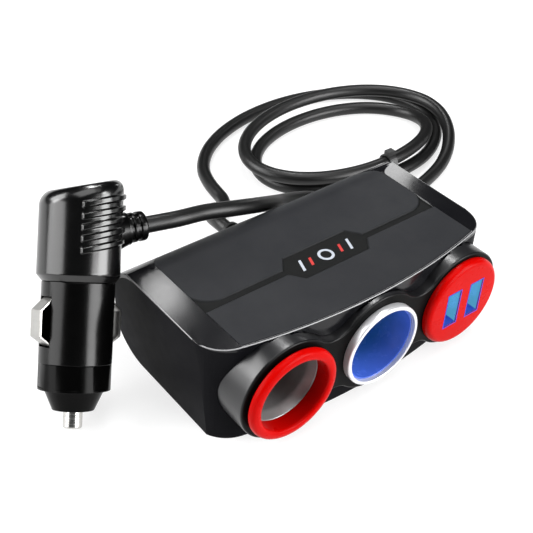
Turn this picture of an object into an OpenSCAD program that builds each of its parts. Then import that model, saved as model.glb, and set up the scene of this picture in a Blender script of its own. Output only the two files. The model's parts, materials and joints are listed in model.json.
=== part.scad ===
// Car power socket splitter: a flat box with two 12 V sockets and two USB ports,
// on a cord that ends in a car power plug.
// X runs across the box towards the USB ports, Y towards its rear wall, Z up.
// The origin is under the middle of the box, its rings included, on the table.

/* [Box] */
// Width of the box at the top of its side walls
body_w = 107.8; // [104:0.1:120]
// Height of the box
body_h = 35.4; // [34.8:0.1:40]
// Depth of the case, from the middle of its front wall to its rear wall
case_d = 60.8; // [56:0.1:72]
// Radius of the front wall, seen from above
front_arc_r = 207; // [160:1:300]
// Radius of the front corners, seen from above
front_corner_r = 12; // [10:0.5:16]
// Radius of the rear corners, seen from above
rear_corner_r = 3.3; // [2.6:0.1:6]
// Radius of the roll from the top into the rear wall
top_roll_r = 16; // [12:0.5:18]
// Radius of the roll from the rear wall into the base
base_roll_r = 15; // [10:0.5:15]
// How far each side wall leans in at its foot
side_lean = 1.2; // [0:0.1:2]
// How far the top falls from the panel to the sides
strip_drop = 1; // [0.4:0.1:1.2]
// Thickness of the lower case's walls and floor
wall = 2; // [1.6:0.1:2.4]
// Thickness of the cover at its rim
cover_rim = 1.4; // [1.2:0.1:1.8]
// Thickness of the cover inside the walls
cover_plate = 2.6; // [2.3:0.1:3]

/* [Top panel] */
// Width of the inlaid panel
panel_w = 90.6; // [80:0.2:94]
// Thickness of the inlaid panel
panel_t = 1; // [0.8:0.1:1.1]
// Rim left in front of the panel
panel_front_rim = 0.8; // [0.6:0.1:2]
// Distance from the panel's rear edge to the rear wall
panel_rear_rim = 6.2; // [5:0.1:10]
// Radius of the panel's rear corners
panel_corner_r = 8; // [4:0.5:12]
// Distance from the front wall to the middle of the valley across the panel
valley_back = 23.5; // [20:0.5:28]
// Width of the valley
valley_w = 3; // [2:0.1:4]
// Depth of the valley and of the badge recess
valley_depth = 0.5; // [0.3:0.1:0.6]
// Length of the badge recess
badge_w = 34; // [28:1:40]
// Length of the badge recess's long edges
badge_edge_w = 25; // [18:1:26]
// Depth of the badge recess from front to rear
badge_d = 12; // [8:0.5:14]

/* [Front bosses] */
// Distance between the sockets' axes
socket_pitch = 34; // [33.7:0.1:35]
// Height of the sockets' axes above the base
socket_h = 18.4; // [18.4:0.1:19]
// Outer radius of each boss
boss_r = 16.8; // [16.4:0.1:16.8]
// Radius of the hollows between the bosses
boss_hollow_r = 8; // [6:0.5:12]
// How far the bosses stand out of the front wall at its middle
boss_out = 2.2; // [1.8:0.1:4]
// Bevel on the bosses' front edge
boss_bevel = 1.1; // [0.6:0.1:1.3]
// Length of the bezel from its front face to its rear
bezel_d = 13.8; // [12:0.2:14]
// Radius of the bezel's three bores
boss_bore_r = 13.2; // [13.2:0.1:13.6]

/* [Sockets] */
// Bore radius of a socket, for a 21 mm plug
socket_bore_r = 10.7; // [10.6:0.05:11]
// Wall of a socket barrel
barrel_wall = 1.7; // [1.2:0.1:1.8]
// Step in the bore that the base sits behind
barrel_step = 0.5; // [0.4:0.1:1]
// Length of the flare at the left socket's mouth
flare_d = 3; // [2:0.5:5]
// How far the red ring stands out of the bosses
ring_out = 3.4; // [2.6:0.1:4]
// Outer radius of the red ring and the USB disc
ring_r = 15.35; // [14.6:0.05:15.6]
// Radius of the red ring's mouth
ring_mouth_r = 12; // [11.9:0.05:12.1]
// Rounding of the rings' outer front edge
ring_round = 1.5; // [0.8:0.1:2]
// Thickness of the red ring's flange
ring_flange_d = 2.5; // [2.1:0.1:2.6]
// Length of the red ring's sleeve behind its flange
ring_sleeve_d = 9.8; // [6:0.2:11]
// Outer radius of the silver ring
silver_ring_r = 13.9; // [13.6:0.1:14.4]
// How far the silver ring stands out of the bosses
silver_ring_out = 2.7; // [2:0.1:3.2]
// Wall of the light ring in the middle socket
liner_wall = 0.5; // [0.4:0.05:0.6]
// Length of the light ring
liner_d = 13; // [12:0.2:14.6]
// Distance from the ring's face to the end of the socket's bore
socket_depth = 39.2; // [36:0.2:42]
// Thickness of a socket's base
base_t = 4; // [3:0.5:5]
// Radius of a centre contact's head
contact_r = 4.5; // [3.5:0.1:5]
// Thickness of a centre contact's head
contact_t = 1.2; // [1:0.1:1.4]
// Radius of a centre contact's stem
contact_stem_r = 1.6; // [1.3:0.1:2]

/* [USB] */
// How far the USB disc stands out of the bosses
usb_out = 2.7; // [2:0.1:3.4]
// Distance between the two ports' middles
usb_pitch = 9.86; // [9:0.1:11]
// Long side of a port's shell
usb_long = 12.8; // [12.5:0.1:13]
// Short side of a port's shell
usb_short = 5.4; // [5.2:0.1:5.6]
// Wall of a port's shell
usb_wall = 0.3; // [0.25:0.05:0.4]
// Length of a port's shell
usb_d = 14; // [13:0.2:15]
// Thickness of the circuit board
board_t = 1.6; // [1.2:0.1:2]

/* [Cord] */
// Diameter of the cord
cord_d = 5.2; // [4.8:0.1:5.3]
// Height of the cord's exit in the rear wall
gland_h = 14; // [13:0.5:14]
// Length of the strain relief behind the rear wall
gland_out = 12; // [10:0.5:13]
// Middle of the coil across the box
coil_x = 86; // [84:1:90]
// Middle of the coil behind the origin
coil_y = 85.6; // [84:0.4:90]
// Width of the tie round two of the coil's strands
tie_w = 3.5; // [2.5:0.5:5]

/* [Plug] */
// Place of the plug's tip across the box
plug_tip_x = -83.4; // [-90:0.1:-80]
// Place of the plug's tip behind the origin
plug_tip_y = 7.1; // [4:0.1:12]
// Radius of the plug's barrel
plug_r = 10.5; // [10.3:0.05:10.6]
// Length of the barrel's full-width part
plug_barrel_d = 23.2; // [22:0.2:26]
// Length of the nose cap's ring
cap_ring_d = 7.4; // [7:0.2:9]
// Length of the nose cap's cone
cap_cone_d = 5.9; // [5.5:0.1:8]
// Radius of the tip contact
tip_r = 2.75; // [2.4:0.05:3]
// How far the tip contact stands out
tip_out = 5.4; // [4:0.1:6]
// Radius of the plug's head
head_r = 12.1; // [11.6:0.1:12.5]
// Height of the plug's head at its axis
head_d = 26; // [25:0.2:30]
// Radius of the fuse
fuse_r = 3.15; // [3:0.05:3.3]
// Length of the fuse
fuse_d = 30; // [28:0.5:30]
// Width of a side contact
leaf_w = 5.6; // [5:0.1:6]
// How far a side contact stands out of the barrel
leaf_out = 2.6; // [1.5:0.1:3]

/* [Hidden] */
$fn = 96;

// Clearances: between parts that are pushed together, on a shaft, and at a seat
fit_gap = 0.15;
shaft_gap = 0.05;
seat_gap = 0.05;
// Overrun of every cut
over = 1;

// Places along the depth of the box
body_d = case_d + boss_out + ring_out;
rear_y = body_d / 2;
front_y = rear_y - case_d;
bezel_y = front_y - boss_out;
ring_y = bezel_y - ring_out;
half_w = body_w / 2;
seam_z = body_h - top_roll_r;

// Front corners touch the front arc from inside
arc_y = front_y + front_arc_r;
corner_x = half_w - front_corner_r;
corner_share = corner_x / (front_arc_r - front_corner_r);
corner_y = arc_y - sqrt(pow(front_arc_r - front_corner_r, 2) - pow(corner_x, 2));

// The box's outline from above, drawn in by a distance
module plan(inset = 0) {
    tangent_x = corner_x + (front_corner_r - inset) * corner_share;
    intersection() {
        translate([0, arc_y]) circle(r = front_arc_r - inset, $fn = 360);
        union() {
            plan_slab(tangent_x, front_y, rear_y - rear_corner_r);
            plan_slab(half_w - rear_corner_r, corner_y, rear_y - inset);
            plan_slab(half_w - inset, corner_y, rear_y - rear_corner_r);
            for (side = [-1, 1]) {
                translate([side * corner_x, corner_y]) circle(r = front_corner_r - inset);
                translate([side * (half_w - rear_corner_r), rear_y - rear_corner_r])
                    circle(r = rear_corner_r - inset);
            }
        }
    }
}

module plan_slab(x, y_low, y_high) {
    translate([-x, y_low]) square([2 * x, y_high - y_low]);
}

// The box's outline from the side, as Y and Z, open to the front
module side_profile(inset = 0) {
    front = -body_d;
    profile_slab(front, rear_y - top_roll_r, base_roll_r, body_h - inset);
    profile_slab(front, rear_y - base_roll_r, inset, body_h - top_roll_r);
    profile_slab(front, rear_y - inset, base_roll_r, body_h - top_roll_r);
    translate([rear_y - top_roll_r, body_h - top_roll_r]) circle(r = top_roll_r - inset, $fn = 180);
    translate([rear_y - base_roll_r, base_roll_r]) circle(r = base_roll_r - inset, $fn = 180);
}

module profile_slab(y_low, y_high, z_low, z_high) {
    translate([y_low, z_low]) square([y_high - y_low, z_high - z_low]);
}

module profile_solid(inset = 0) {
    translate([-body_w, 0, 0]) rotate([90, 0, 90])
        linear_extrude(height = 2 * body_w) side_profile(inset);
}

// The box's section across: sides lean in at the foot, the top falls to the sides
module lean_solid(inset = 0) {
    translate([0, body_d, 0]) rotate([90, 0, 0]) linear_extrude(height = 2 * body_d)
        polygon([
            [inset - half_w + side_lean, 0],
            [inset - half_w, body_h - strip_drop],
            [-panel_w / 2, body_h],
            [panel_w / 2, body_h],
            [half_w - inset, body_h - strip_drop],
            [half_w - inset - side_lean, 0],
        ]);
}

module block(inset = 0) {
    intersection() {
        linear_extrude(height = body_h) plan(inset);
        profile_solid(inset);
        lean_solid(inset);
    }
}

// A box given by its low and high corners
module span(low, high) {
    translate(low) cube(high - low);
}

// What lies between the side walls and behind the front wall, open to the rear
module between_walls(inset) {
    intersection() {
        translate([0, 0, -over]) linear_extrude(height = body_h + 2 * over) union() {
            plan(inset);
            plan_slab(half_w - inset, 0, body_d);
        }
        lean_between(inset);
    }
}

module lean_between(inset) {
    translate([0, body_d, 0]) rotate([90, 0, 0]) linear_extrude(height = 2 * body_d)
        polygon([
            [inset - half_w + side_lean, -over],
            [inset - half_w, body_h + over],
            [half_w - inset, body_h + over],
            [half_w - inset - side_lean, -over],
        ]);
}

// Screw posts: two between the bosses, two in the rear corners
post_r = 3.2;
post_wall_share = 0.94;
post_h = 10;
post_front_back = 15.6;
post_rear_in = 14;
post_rear_side = 7.9;
screw_r = 1.25;
screw_hole_r = 1.4;
screw_head_r = 2.6;
screw_head_t = 1.8;
screw_cross = 1.5;
screw_sink = 0.6;
screw_seat = 2.5;
post_places = [
    [-socket_pitch / 2, front_y + post_front_back],
    [socket_pitch / 2, front_y + post_front_back],
    [post_rear_side - half_w, rear_y - post_rear_in],
    [half_w - post_rear_side, rear_y - post_rear_in],
];

// Ribs that carry the barrels
saddle_t = 2;
saddle_w = 28;
saddle_h = 10;
saddle_backs = [21, 33.5];
barrel_r = socket_bore_r + barrel_wall;

// The hollows between the bosses touch them at one angle
hollow_rise = sqrt(pow(boss_r + boss_hollow_r, 2) - pow(socket_pitch / 2, 2));
touch_angle = atan2(hollow_rise, socket_pitch / 2);
side_steps = 48;
top_steps = 16;
hollow_steps = 10;
function arc(x, z, r, from, to, steps) =
    [for (k = [0:steps - 1]) let (a = from + (to - from) * k / steps) [x + r * cos(a), z + r * sin(a)]];
function hollow_arc(side, end, grow) = arc(side * socket_pitch / 2, end * hollow_rise, boss_hollow_r - grow,
    end > 0 ? -touch_angle : 180 - touch_angle, end > 0 ? touch_angle - 180 : touch_angle, hollow_steps);

// The wavy outline of the three bosses, grown by a distance
function boss_points(grow) = let (r = boss_r + grow) concat(
    arc(socket_pitch, 0, r, touch_angle - 180, 180 - touch_angle, side_steps),
    hollow_arc(1, 1, grow),
    arc(0, 0, r, touch_angle, 180 - touch_angle, top_steps),
    hollow_arc(-1, 1, grow),
    arc(-socket_pitch, 0, r, touch_angle, 360 - touch_angle, side_steps),
    hollow_arc(-1, -1, grow),
    arc(0, 0, r, 180 + touch_angle, 360 - touch_angle, top_steps),
    hollow_arc(1, -1, grow)
);

module boss_outline(grow = 0) {
    polygon(boss_points(grow));
}

// Turns a drawing of X and Z so that it faces the front, with its depth towards the rear
module from_front(y, depth) {
    translate([0, y + depth, socket_h]) rotate([90, 0, 0]) linear_extrude(height = depth) children();
}

// Puts a turned piece on a socket's axis, with its own Z towards the rear
module on_socket(x, y) {
    translate([x, y, socket_h]) rotate([-90, 0, 0]) children();
}

pad_r = 5.2;
gland_hole_r = 3.6;

// The front wall over the hollows between the bosses, which hangs from the cover
module hollow_wall_zone(gap = 0) {
    span([-socket_pitch, -body_d, socket_h], [socket_pitch, front_y + 4 * wall, body_h - gap]);
}

module lower_case() color([0.06, 0.06, 0.07]) difference() {
    union() {
        difference() {
            intersection() {
                block();
                union() {
                    profile_solid(cover_rim + seat_gap);
                    span([-body_w, -body_d, 0], [body_w, body_d, seam_z]);
                }
            }
            intersection() {
                block(wall);
                span([-body_w, -body_d, 0], [body_w, body_d, seam_z]);
            }
            intersection() {
                between_walls(wall);
                span([-body_w, -body_d, seam_z], [body_w, body_d, body_h + over]);
            }
        }
        for (place = post_places) intersection() {
            block(wall / 2);
            translate(place) cylinder(r = post_r, h = post_h);
        }
        for (back = saddle_backs) for (i = [-1:0]) intersection() {
            block(wall / 2);
            translate([i * socket_pitch - saddle_w / 2, front_y + back, 0])
                cube([saddle_w, saddle_t, saddle_h]);
        }
        translate([0, rear_y - wall, gland_h]) rotate([-90, 0, 0]) cylinder(r = pad_r, h = wall);
    }
    for (place = post_places) translate(place) {
        translate([0, 0, -over]) cylinder(r = screw_head_r + fit_gap, h = over + screw_seat);
        cylinder(r = screw_hole_r, h = body_h / 2);
    }
    for (i = [-1:0]) on_socket(i * socket_pitch, front_y)
        cylinder(r = barrel_r + seat_gap, h = case_d - wall);
    from_front(bezel_y, bezel_d) boss_outline(fit_gap);
    hollow_wall_zone();
    translate([0, rear_y - wall - over, gland_h]) rotate([-90, 0, 0])
        cylinder(r = gland_hole_r, h = wall + 2 * over);
}

// The panel's outline from above, drawn in by a gap
module panel_outline(gap = 0) {
    panel_rear = rear_y - panel_rear_rim;
    intersection() {
        translate([0, arc_y]) circle(r = front_arc_r - panel_front_rim - gap, $fn = 360);
        union() {
            plan_slab(panel_w / 2 - gap, -body_d, panel_rear - panel_corner_r);
            plan_slab(panel_w / 2 - panel_corner_r, -body_d, panel_rear - gap);
            for (side = [-1, 1])
                translate([side * (panel_w / 2 - panel_corner_r), panel_rear - panel_corner_r])
                    circle(r = panel_corner_r - gap);
        }
    }
}

// The layer of the top that lies within a depth of its surface, over the panel's outline
module panel_layer(depth, gap = 0) {
    difference() {
        intersection() {
            translate([0, 0, seam_z]) linear_extrude(height = top_roll_r + over) panel_outline(gap);
            profile_solid(0);
        }
        profile_solid(depth);
    }
}

module top_cover() color([0.07, 0.07, 0.08]) difference() {
    union() {
        difference() {
            intersection() {
                block();
                span([-body_w, -body_d, seam_z + seat_gap], [body_w, body_d, body_h + over]);
            }
            difference() {
                profile_solid(cover_rim);
                between_walls(wall + fit_gap);
            }
            profile_solid(cover_plate);
        }
        difference() {
            intersection() {
                block();
                hollow_wall_zone(cover_rim / 2);
            }
            between_walls(wall);
            from_front(bezel_y, bezel_d) boss_outline(fit_gap);
        }
        intersection() {
            block(cover_rim / 2);
            union() {
                for (place = post_places) translate([place.x, place.y, post_h + seat_gap])
                    cylinder(r = post_r * post_wall_share, h = body_h);
            }
        }
    }
    for (place = post_places) translate([place.x, place.y, 0])
        cylinder(r = screw_r + seat_gap, h = body_h - cover_plate);
    panel_layer(panel_t);
    translate([0, 0, body_h - panel_t]) linear_extrude(height = panel_t + over)
        intersection() {
            panel_outline();
            plan_slab(body_w, -body_d, rear_y - top_roll_r);
        }
}

// The groove across the panel, with the round front corners of the rear field and the badge recess
module valley_outline() {
    y = front_y + valley_back;
    field_y = y + valley_w / 2;
    translate([0, y]) square([body_w, valley_w], center = true);
    for (side = [-1, 1]) difference() {
        translate([side * (panel_w / 2 - panel_corner_r / 2), field_y + panel_corner_r / 2])
            square([panel_corner_r, panel_corner_r], center = true);
        translate([side * (panel_w / 2 - panel_corner_r), field_y + panel_corner_r])
            circle(r = panel_corner_r);
    }
    translate([0, y]) polygon([
        [-badge_w / 2, 0],
        [-badge_edge_w / 2, badge_d / 2],
        [badge_edge_w / 2, badge_d / 2],
        [badge_w / 2, 0],
        [badge_edge_w / 2, -badge_d / 2],
        [-badge_edge_w / 2, -badge_d / 2],
    ]);
}

module centre_panel() color([0.2, 0.2, 0.21]) difference() {
    panel_layer(panel_t - seat_gap, fit_gap);
    translate([0, 0, body_h - valley_depth]) linear_extrude(height = valley_depth + over)
        valley_outline();
}

// The bosses' front edge is rounded in steps
bevel_steps = 3;
module bezel_nose() {
    for (i = [0:bevel_steps - 1]) from_front(bezel_y + boss_bevel * i / bevel_steps, boss_out)
        boss_outline(-boss_bevel * pow(1 - i / bevel_steps, 2));
}

module front_bezel() color([0.1, 0.1, 0.11]) difference() {
    union() {
        bezel_nose();
        from_front(bezel_y + boss_bevel, bezel_d - boss_bevel) boss_outline();
    }
    for (i = [-1:1]) on_socket(i * socket_pitch, bezel_y - over)
        cylinder(r = boss_bore_r, h = bezel_d + 2 * over);
    intersection() {
        translate([0, 0, -boss_r]) linear_extrude(height = body_h + 2 * boss_r) plan(-fit_gap);
        span([-body_w, -body_d, body_h - cover_rim - fit_gap], [body_w, body_d, body_h + boss_r]);
    }
    intersection() {
        translate([0, 0, -boss_r]) linear_extrude(height = body_h + 2 * boss_r) plan(wall - fit_gap);
        union() {
            span([-body_w, -body_d, -boss_r], [body_w, body_d, wall + fit_gap]);
            span([-body_w, -body_d, body_h - cover_plate - fit_gap], [body_w, body_d, body_h + boss_r]);
        }
    }
}

// A ring turned about the socket's axis: a rounded flange and a sleeve behind it.
// The flange's mouth runs on behind the flange as far as the lip, then the sleeve widens.
module trim_ring(outer, flange_d, mouth, lip, sleeve_in, sleeve_out, sleeve_end, round_r) {
    rotate_extrude() difference() {
        union() {
            translate([mouth, 0]) square([outer - round_r - mouth, flange_d]);
            translate([mouth, round_r]) square([outer - mouth, flange_d - round_r]);
            translate([outer - round_r, round_r]) intersection() {
                circle(r = round_r, $fn = 48);
                translate([0, -round_r]) square([round_r, round_r]);
            }
            translate([mouth, 0]) square([sleeve_out - mouth, sleeve_end]);
        }
        translate([mouth - over, lip]) square([sleeve_in - mouth + over, sleeve_end]);
    }
}

sleeve_r = boss_bore_r - 2 * seat_gap;
ring_lip = 2;
module left_trim_ring() color([0.85, 0.06, 0.05])
    on_socket(-socket_pitch, ring_y)
        trim_ring(ring_r, ring_flange_d, ring_mouth_r, ring_out + ring_lip, barrel_r + seat_gap,
            sleeve_r, ring_out + ring_sleeve_d, ring_round);

// Depths inside a socket, measured from the bosses' front face
mouth_back = ring_lip + seat_gap;
bore_back = socket_depth - ring_out;
base_gap = 3;
base_back = bore_back + base_gap;
barrel_lip = 1;
barrel_back = base_back + base_t + barrel_lip;

// A socket's barrel: open front, a bore, a step and a seat for the base
module socket_barrel(front_back, flare) {
    translate([0, 0, front_back]) difference() {
        cylinder(r = barrel_r, h = barrel_back - front_back);
        translate([0, 0, -over]) cylinder(r = socket_bore_r, h = over + bore_back - front_back);
        translate([0, 0, -seat_gap]) cylinder(r = socket_bore_r - barrel_step, h = barrel_back);
        if (flare > 0) translate([0, 0, -seat_gap])
            cylinder(r1 = barrel_r - barrel_step + seat_gap, r2 = socket_bore_r, h = flare + seat_gap);
    }
}

module left_socket_barrel() color([0.5, 0.5, 0.51])
    on_socket(-socket_pitch, bezel_y) socket_barrel(mouth_back, flare_d);

module socket_base() {
    translate([0, 0, base_back]) difference() {
        cylinder(r = socket_bore_r - barrel_step - seat_gap, h = base_t);
        translate([0, 0, -over]) cylinder(r = contact_stem_r + shaft_gap, h = base_t + 2 * over);
    }
}

module left_socket_base() color([0.12, 0.12, 0.12])
    on_socket(-socket_pitch, bezel_y) socket_base();

// A centre contact: its head stands off the base by the spring and its stem runs through the base
contact_travel = 1.2;
stem_collar_r = 2.6;
stem_collar_t = 0.8;
stem_tail = 2.4;
spring_rest = 0.4;
contact_back = base_back - contact_travel - spring_rest - contact_t;
module centre_contact() {
    translate([0, 0, contact_back]) cylinder(r = contact_r, h = contact_t);
    translate([0, 0, contact_back])
        cylinder(r = contact_stem_r, h = base_back - contact_back + base_t + stem_tail);
    translate([0, 0, base_back + base_t + fit_gap]) cylinder(r = stem_collar_r, h = stem_collar_t);
}

module left_centre_contact() color([0.8, 0.65, 0.3])
    on_socket(-socket_pitch, bezel_y) centre_contact();

spring_r = 3.4;
spring_wire = 0.6;
module contact_spring() {
    translate([0, 0, contact_back + contact_t + seat_gap]) difference() {
        cylinder(r = spring_r, h = contact_travel + spring_rest - 2 * seat_gap);
        translate([0, 0, -over]) cylinder(r = spring_r - spring_wire, h = contact_travel + 3 * over);
    }
}

module left_contact_spring() color([0.7, 0.7, 0.72])
    on_socket(-socket_pitch, bezel_y) contact_spring();

silver_sleeve_d = 5.8;
silver_sleeve_wall = 0.45;
silver_bore_r = sleeve_r - silver_sleeve_wall;
module middle_trim_ring() color([0.75, 0.75, 0.76])
    on_socket(0, bezel_y - silver_ring_out)
        trim_ring(silver_ring_r, silver_ring_out, silver_bore_r, silver_ring_out, silver_bore_r,
            sleeve_r, silver_ring_out + silver_sleeve_d, ring_round / 2);

liner_r = silver_bore_r - seat_gap;
liner_set = 1.5;
module middle_glow_liner() color([0.15, 0.4, 0.95, 0.7])
    on_socket(0, bezel_y - silver_ring_out + liner_set) difference() {
        cylinder(r = liner_r, h = liner_d);
        translate([0, 0, -over]) cylinder(r = liner_r - liner_wall, h = liner_d + 2 * over);
    }

liner_back = liner_d + liner_set - silver_ring_out;
module middle_socket_barrel() color([0.5, 0.5, 0.51])
    on_socket(0, bezel_y) socket_barrel(liner_back + seat_gap, flare_d / 3);

module middle_socket_base() color([0.12, 0.12, 0.12]) on_socket(0, bezel_y) socket_base();

module middle_centre_contact() color([0.8, 0.65, 0.3]) on_socket(0, bezel_y) centre_contact();

module middle_contact_spring() color([0.7, 0.7, 0.72]) on_socket(0, bezel_y) contact_spring();

// A ring-shaped board behind the bezel whose lamps shine forward into the light ring
glow_board_t = 1;
glow_board_r = 13.9;
led_w = 1.6;
led_t = 0.7;
led_count = 4;
module glow_board() color([0.1, 0.35, 0.2])
    on_socket(0, bezel_y + bezel_d + seat_gap) difference() {
        cylinder(r = glow_board_r, h = glow_board_t);
        translate([0, 0, -over]) cylinder(r = barrel_r + seat_gap, h = glow_board_t + 2 * over);
    }

module glow_leds() color([0.9, 0.95, 1])
    on_socket(0, bezel_y + bezel_d - led_t) for (i = [0:led_count - 1])
        rotate([0, 0, 360 / led_count * (i + 1 / 2)]) translate([barrel_r + seat_gap * 2, -led_w / 2, 0])
            cube([boss_bore_r - barrel_r - seat_gap * 4, led_w, led_t]);

// USB: a disc with two upright windows, a shell in each and the board behind
usb_gap = 0.1;
usb_spigot_d = 5.8;
usb_set = 0.2;
usb_round = 1.8;
usb_y = bezel_y - usb_out;
board_y = usb_y + usb_set + usb_d;
tongue_t = 1.8;
tongue_set = 4.3;
tongue_root_d = 1.4;
module at_port(side) {
    translate([socket_pitch + side * usb_pitch / 2, 0, socket_h]) children();
}

module port_window(gap, y, depth) {
    translate([0, y + depth / 2, 0])
        cube([usb_short + 2 * gap, depth, usb_long + 2 * gap], center = true);
}

module usb_faceplate() color([0.85, 0.06, 0.05]) difference() {
    on_socket(socket_pitch, usb_y) union() {
        translate([0, 0, usb_round]) cylinder(r = ring_r, h = usb_out - usb_round);
        cylinder(r = ring_r - usb_round, h = usb_out);
        rotate_extrude() translate([ring_r - usb_round, usb_round]) intersection() {
            circle(r = usb_round, $fn = 48);
            translate([0, -usb_round]) square([usb_round, usb_round]);
        }
        cylinder(r = sleeve_r, h = usb_out + usb_spigot_d);
    }
    for (side = [-1, 1]) at_port(side) port_window(usb_gap, usb_y - over, usb_out + usb_spigot_d + 2 * over);
}

module usb_port(side) {
    at_port(side) difference() {
        port_window(0, usb_y + usb_set, usb_d);
        port_window(-usb_wall, usb_y + usb_set - over, usb_d + 2 * over);
    }
}

module usb_port_left() color([0.7, 0.72, 0.75]) usb_port(-1);

module usb_port_right() color([0.7, 0.72, 0.75]) usb_port(1);

// Each tongue stands on a root block that closes its shell at the rear
module usb_tongues() color([0.93, 0.95, 0.97]) for (side = [-1, 1]) at_port(side) {
    port_window(-usb_wall - usb_gap, board_y - tongue_root_d, tongue_root_d);
    tongue_front = usb_y + usb_set + tongue_set;
    translate([-usb_short / 2 + usb_wall + usb_gap, tongue_front, -usb_long / 2 + 3 * usb_wall])
        cube([tongue_t, board_y - tongue_front, usb_long - 6 * usb_wall]);
}

board_w = 17;
board_h = 18;
module usb_board() color([0.1, 0.35, 0.2])
    translate([socket_pitch - board_w / 2, board_y, socket_h - board_h / 2])
        cube([board_w, board_t, board_h]);

choke_r = 4;
choke_d = 5;
module power_inductor() color([0.2, 0.2, 0.2])
    on_socket(socket_pitch - board_w / 5, board_y + board_t) translate([0, board_h / 4, 0]) {
        cylinder(r = choke_r, h = choke_d / 5);
        cylinder(r = choke_r - board_t / 2, h = choke_d);
        translate([0, 0, choke_d - choke_d / 5]) cylinder(r = choke_r, h = choke_d / 5);
    }

cap_r = 2.5;
cap_d = 7;
module board_capacitors() color([0.15, 0.2, 0.4])
    for (x_share = [-0.25, 0.25])
        on_socket(socket_pitch + x_share * board_w, board_y + board_t) translate([0, -board_h / 4, 0])
            cylinder(r = cap_r, h = cap_d);

// Tubes swept along points: a ring of corners at each point, square to the path
function unit(v) = v / norm(v);
function path_way(points, i) =
    i == 0 ? unit(points[1] - points[0])
    : i == len(points) - 1 ? unit(points[i] - points[i - 1])
    : unit(unit(points[i + 1] - points[i]) + unit(points[i] - points[i - 1]));
function ring_at(points, i, r, sides) =
    let (way = path_way(points, i), across = unit(cross(way, [0, 0, 1])), up = cross(across, way))
    [for (k = [0:sides - 1]) points[i] + r * (cos(360 * k / sides) * up + sin(360 * k / sides) * across)];

module tube(points, r, sides) {
    count = len(points);
    corners = [for (i = [0:count - 1]) each ring_at(points, i, r, sides)];
    polyhedron(points = corners, faces = concat(
        [for (k = [1:sides - 2]) [0, k, k + 1]],
        [for (k = [1:sides - 2]) [(count - 1) * sides, (count - 1) * sides + k + 1, (count - 1) * sides + k]],
        [for (i = [0:count - 2], k = [0:sides - 1])
            let (a = i * sides + k, b = i * sides + (k + 1) % sides)
            each [[a, b + sides, b], [a, a + sides, b + sides]]]
    ));
}

// Wires inside the box, from the cord's end to the sockets' tags, the barrels' rims and the board
wire_r = 0.8;
wire_side = 1.6;
tag_r = 5;
wire_drop = 9;
gland_flange_t = 2;
gland_in_y = rear_y - wall - gland_flange_t - 2 * seat_gap;
tag_y = bezel_y + base_back + base_t + fit_gap;
rim_y = bezel_y + barrel_back + fit_gap;
loop_y = (rim_y + gland_in_y) / 2;
board_rear = board_y + board_t + seat_gap;
rim_r = socket_bore_r + barrel_wall / 2;
function socket_wire(start_x, level, x, y, z) = [
    [start_x, gland_in_y, level],
    [start_x, gland_in_y - wire_side, level],
    [(start_x + x) / 2, loop_y, (level + z) / 2],
    [x, y + 2 * wire_side, z],
    [x, y, z],
];
function board_wire(start_x, level, x, drop) = [
    [start_x, gland_in_y, level],
    [start_x, gland_in_y - wire_side, level],
    [socket_pitch / 2, loop_y, drop],
    [x, rim_y, drop],
    [x, board_rear + 5 * wire_side, drop],
    [x, board_rear + 2 * wire_side, socket_h - board_h / 3],
    [x, board_rear, socket_h - board_h / 3],
];

module supply_wires() color([0.75, 0.1, 0.08]) {
    tag_x = tag_r - socket_pitch;
    tube(socket_wire(-wire_side, gland_h + 2 * wire_side, tag_x, tag_y, socket_h), wire_r, 6);
    tube(socket_wire(wire_side, gland_h + 2 * wire_side, tag_r, tag_y, socket_h), wire_r, 6);
    tube(board_wire(2 * wire_side, gland_h - wire_side, socket_pitch + board_w / 3, wire_drop), wire_r, 6);
}

module ground_wires() color([0.12, 0.12, 0.12]) {
    rim_h = socket_h - rim_r;
    tube(socket_wire(-2 * wire_side, gland_h, -socket_pitch, rim_y, rim_h), wire_r, 6);
    tube(socket_wire(0, gland_h, 0, rim_y, rim_h), wire_r, 6);
    tube(board_wire(0, gland_h - 2 * wire_side, socket_pitch + board_w / 6, wire_drop - 2 * wire_side),
        wire_r, 6);
}

module cover_screws() color([0.35, 0.35, 0.36]) for (place = post_places) translate(place) {
    translate([0, 0, screw_sink]) difference() {
        cylinder(r = screw_head_r, h = screw_head_t);
        translate([0, 0, -over]) for (turn = [0, 90]) rotate([0, 0, turn])
            translate([-screw_cross, -screw_cross / 4, 0])
                cube([2 * screw_cross, screw_cross / 2, over + screw_head_t / 2]);
    }
    translate([0, 0, screw_sink + screw_head_t * 3 / 4])
        cylinder(r = screw_r, h = body_h / 2 - screw_head_t * 3 / 4);
}

// Strain relief: a neck through the wall between two flanges, and a ribbed taper outside
gland_flange_r = 4.9;
gland_tip_r = 3.6;
gland_ribs = 4;
module cord_gland() color([0.06, 0.06, 0.06])
    translate([0, rear_y, gland_h]) rotate([-90, 0, 0]) rotate_extrude() {
        translate([0, -wall - seat_gap - gland_flange_t]) square([gland_flange_r, gland_flange_t]);
        translate([0, -wall - over / 2]) square([gland_hole_r - seat_gap, wall + over]);
        translate([0, seat_gap]) square([gland_flange_r, gland_flange_t]);
        translate([0, seat_gap]) square([cord_d / 2 + shaft_gap * 4, gland_out - seat_gap]);
        pitch = (gland_out - gland_flange_t) / gland_ribs;
        taper = (gland_flange_r - gland_tip_r) / (gland_ribs + 1);
        for (i = [0:gland_ribs - 1]) translate([0, gland_flange_t + pitch * i + seat_gap])
            polygon([
                [0, pitch * 2 / 5],
                [gland_flange_r - taper * (i + 1), pitch * 2 / 5],
                [gland_flange_r - taper * (i + 2), pitch - seat_gap],
                [0, pitch - seat_gap],
            ]);
    }

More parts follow.
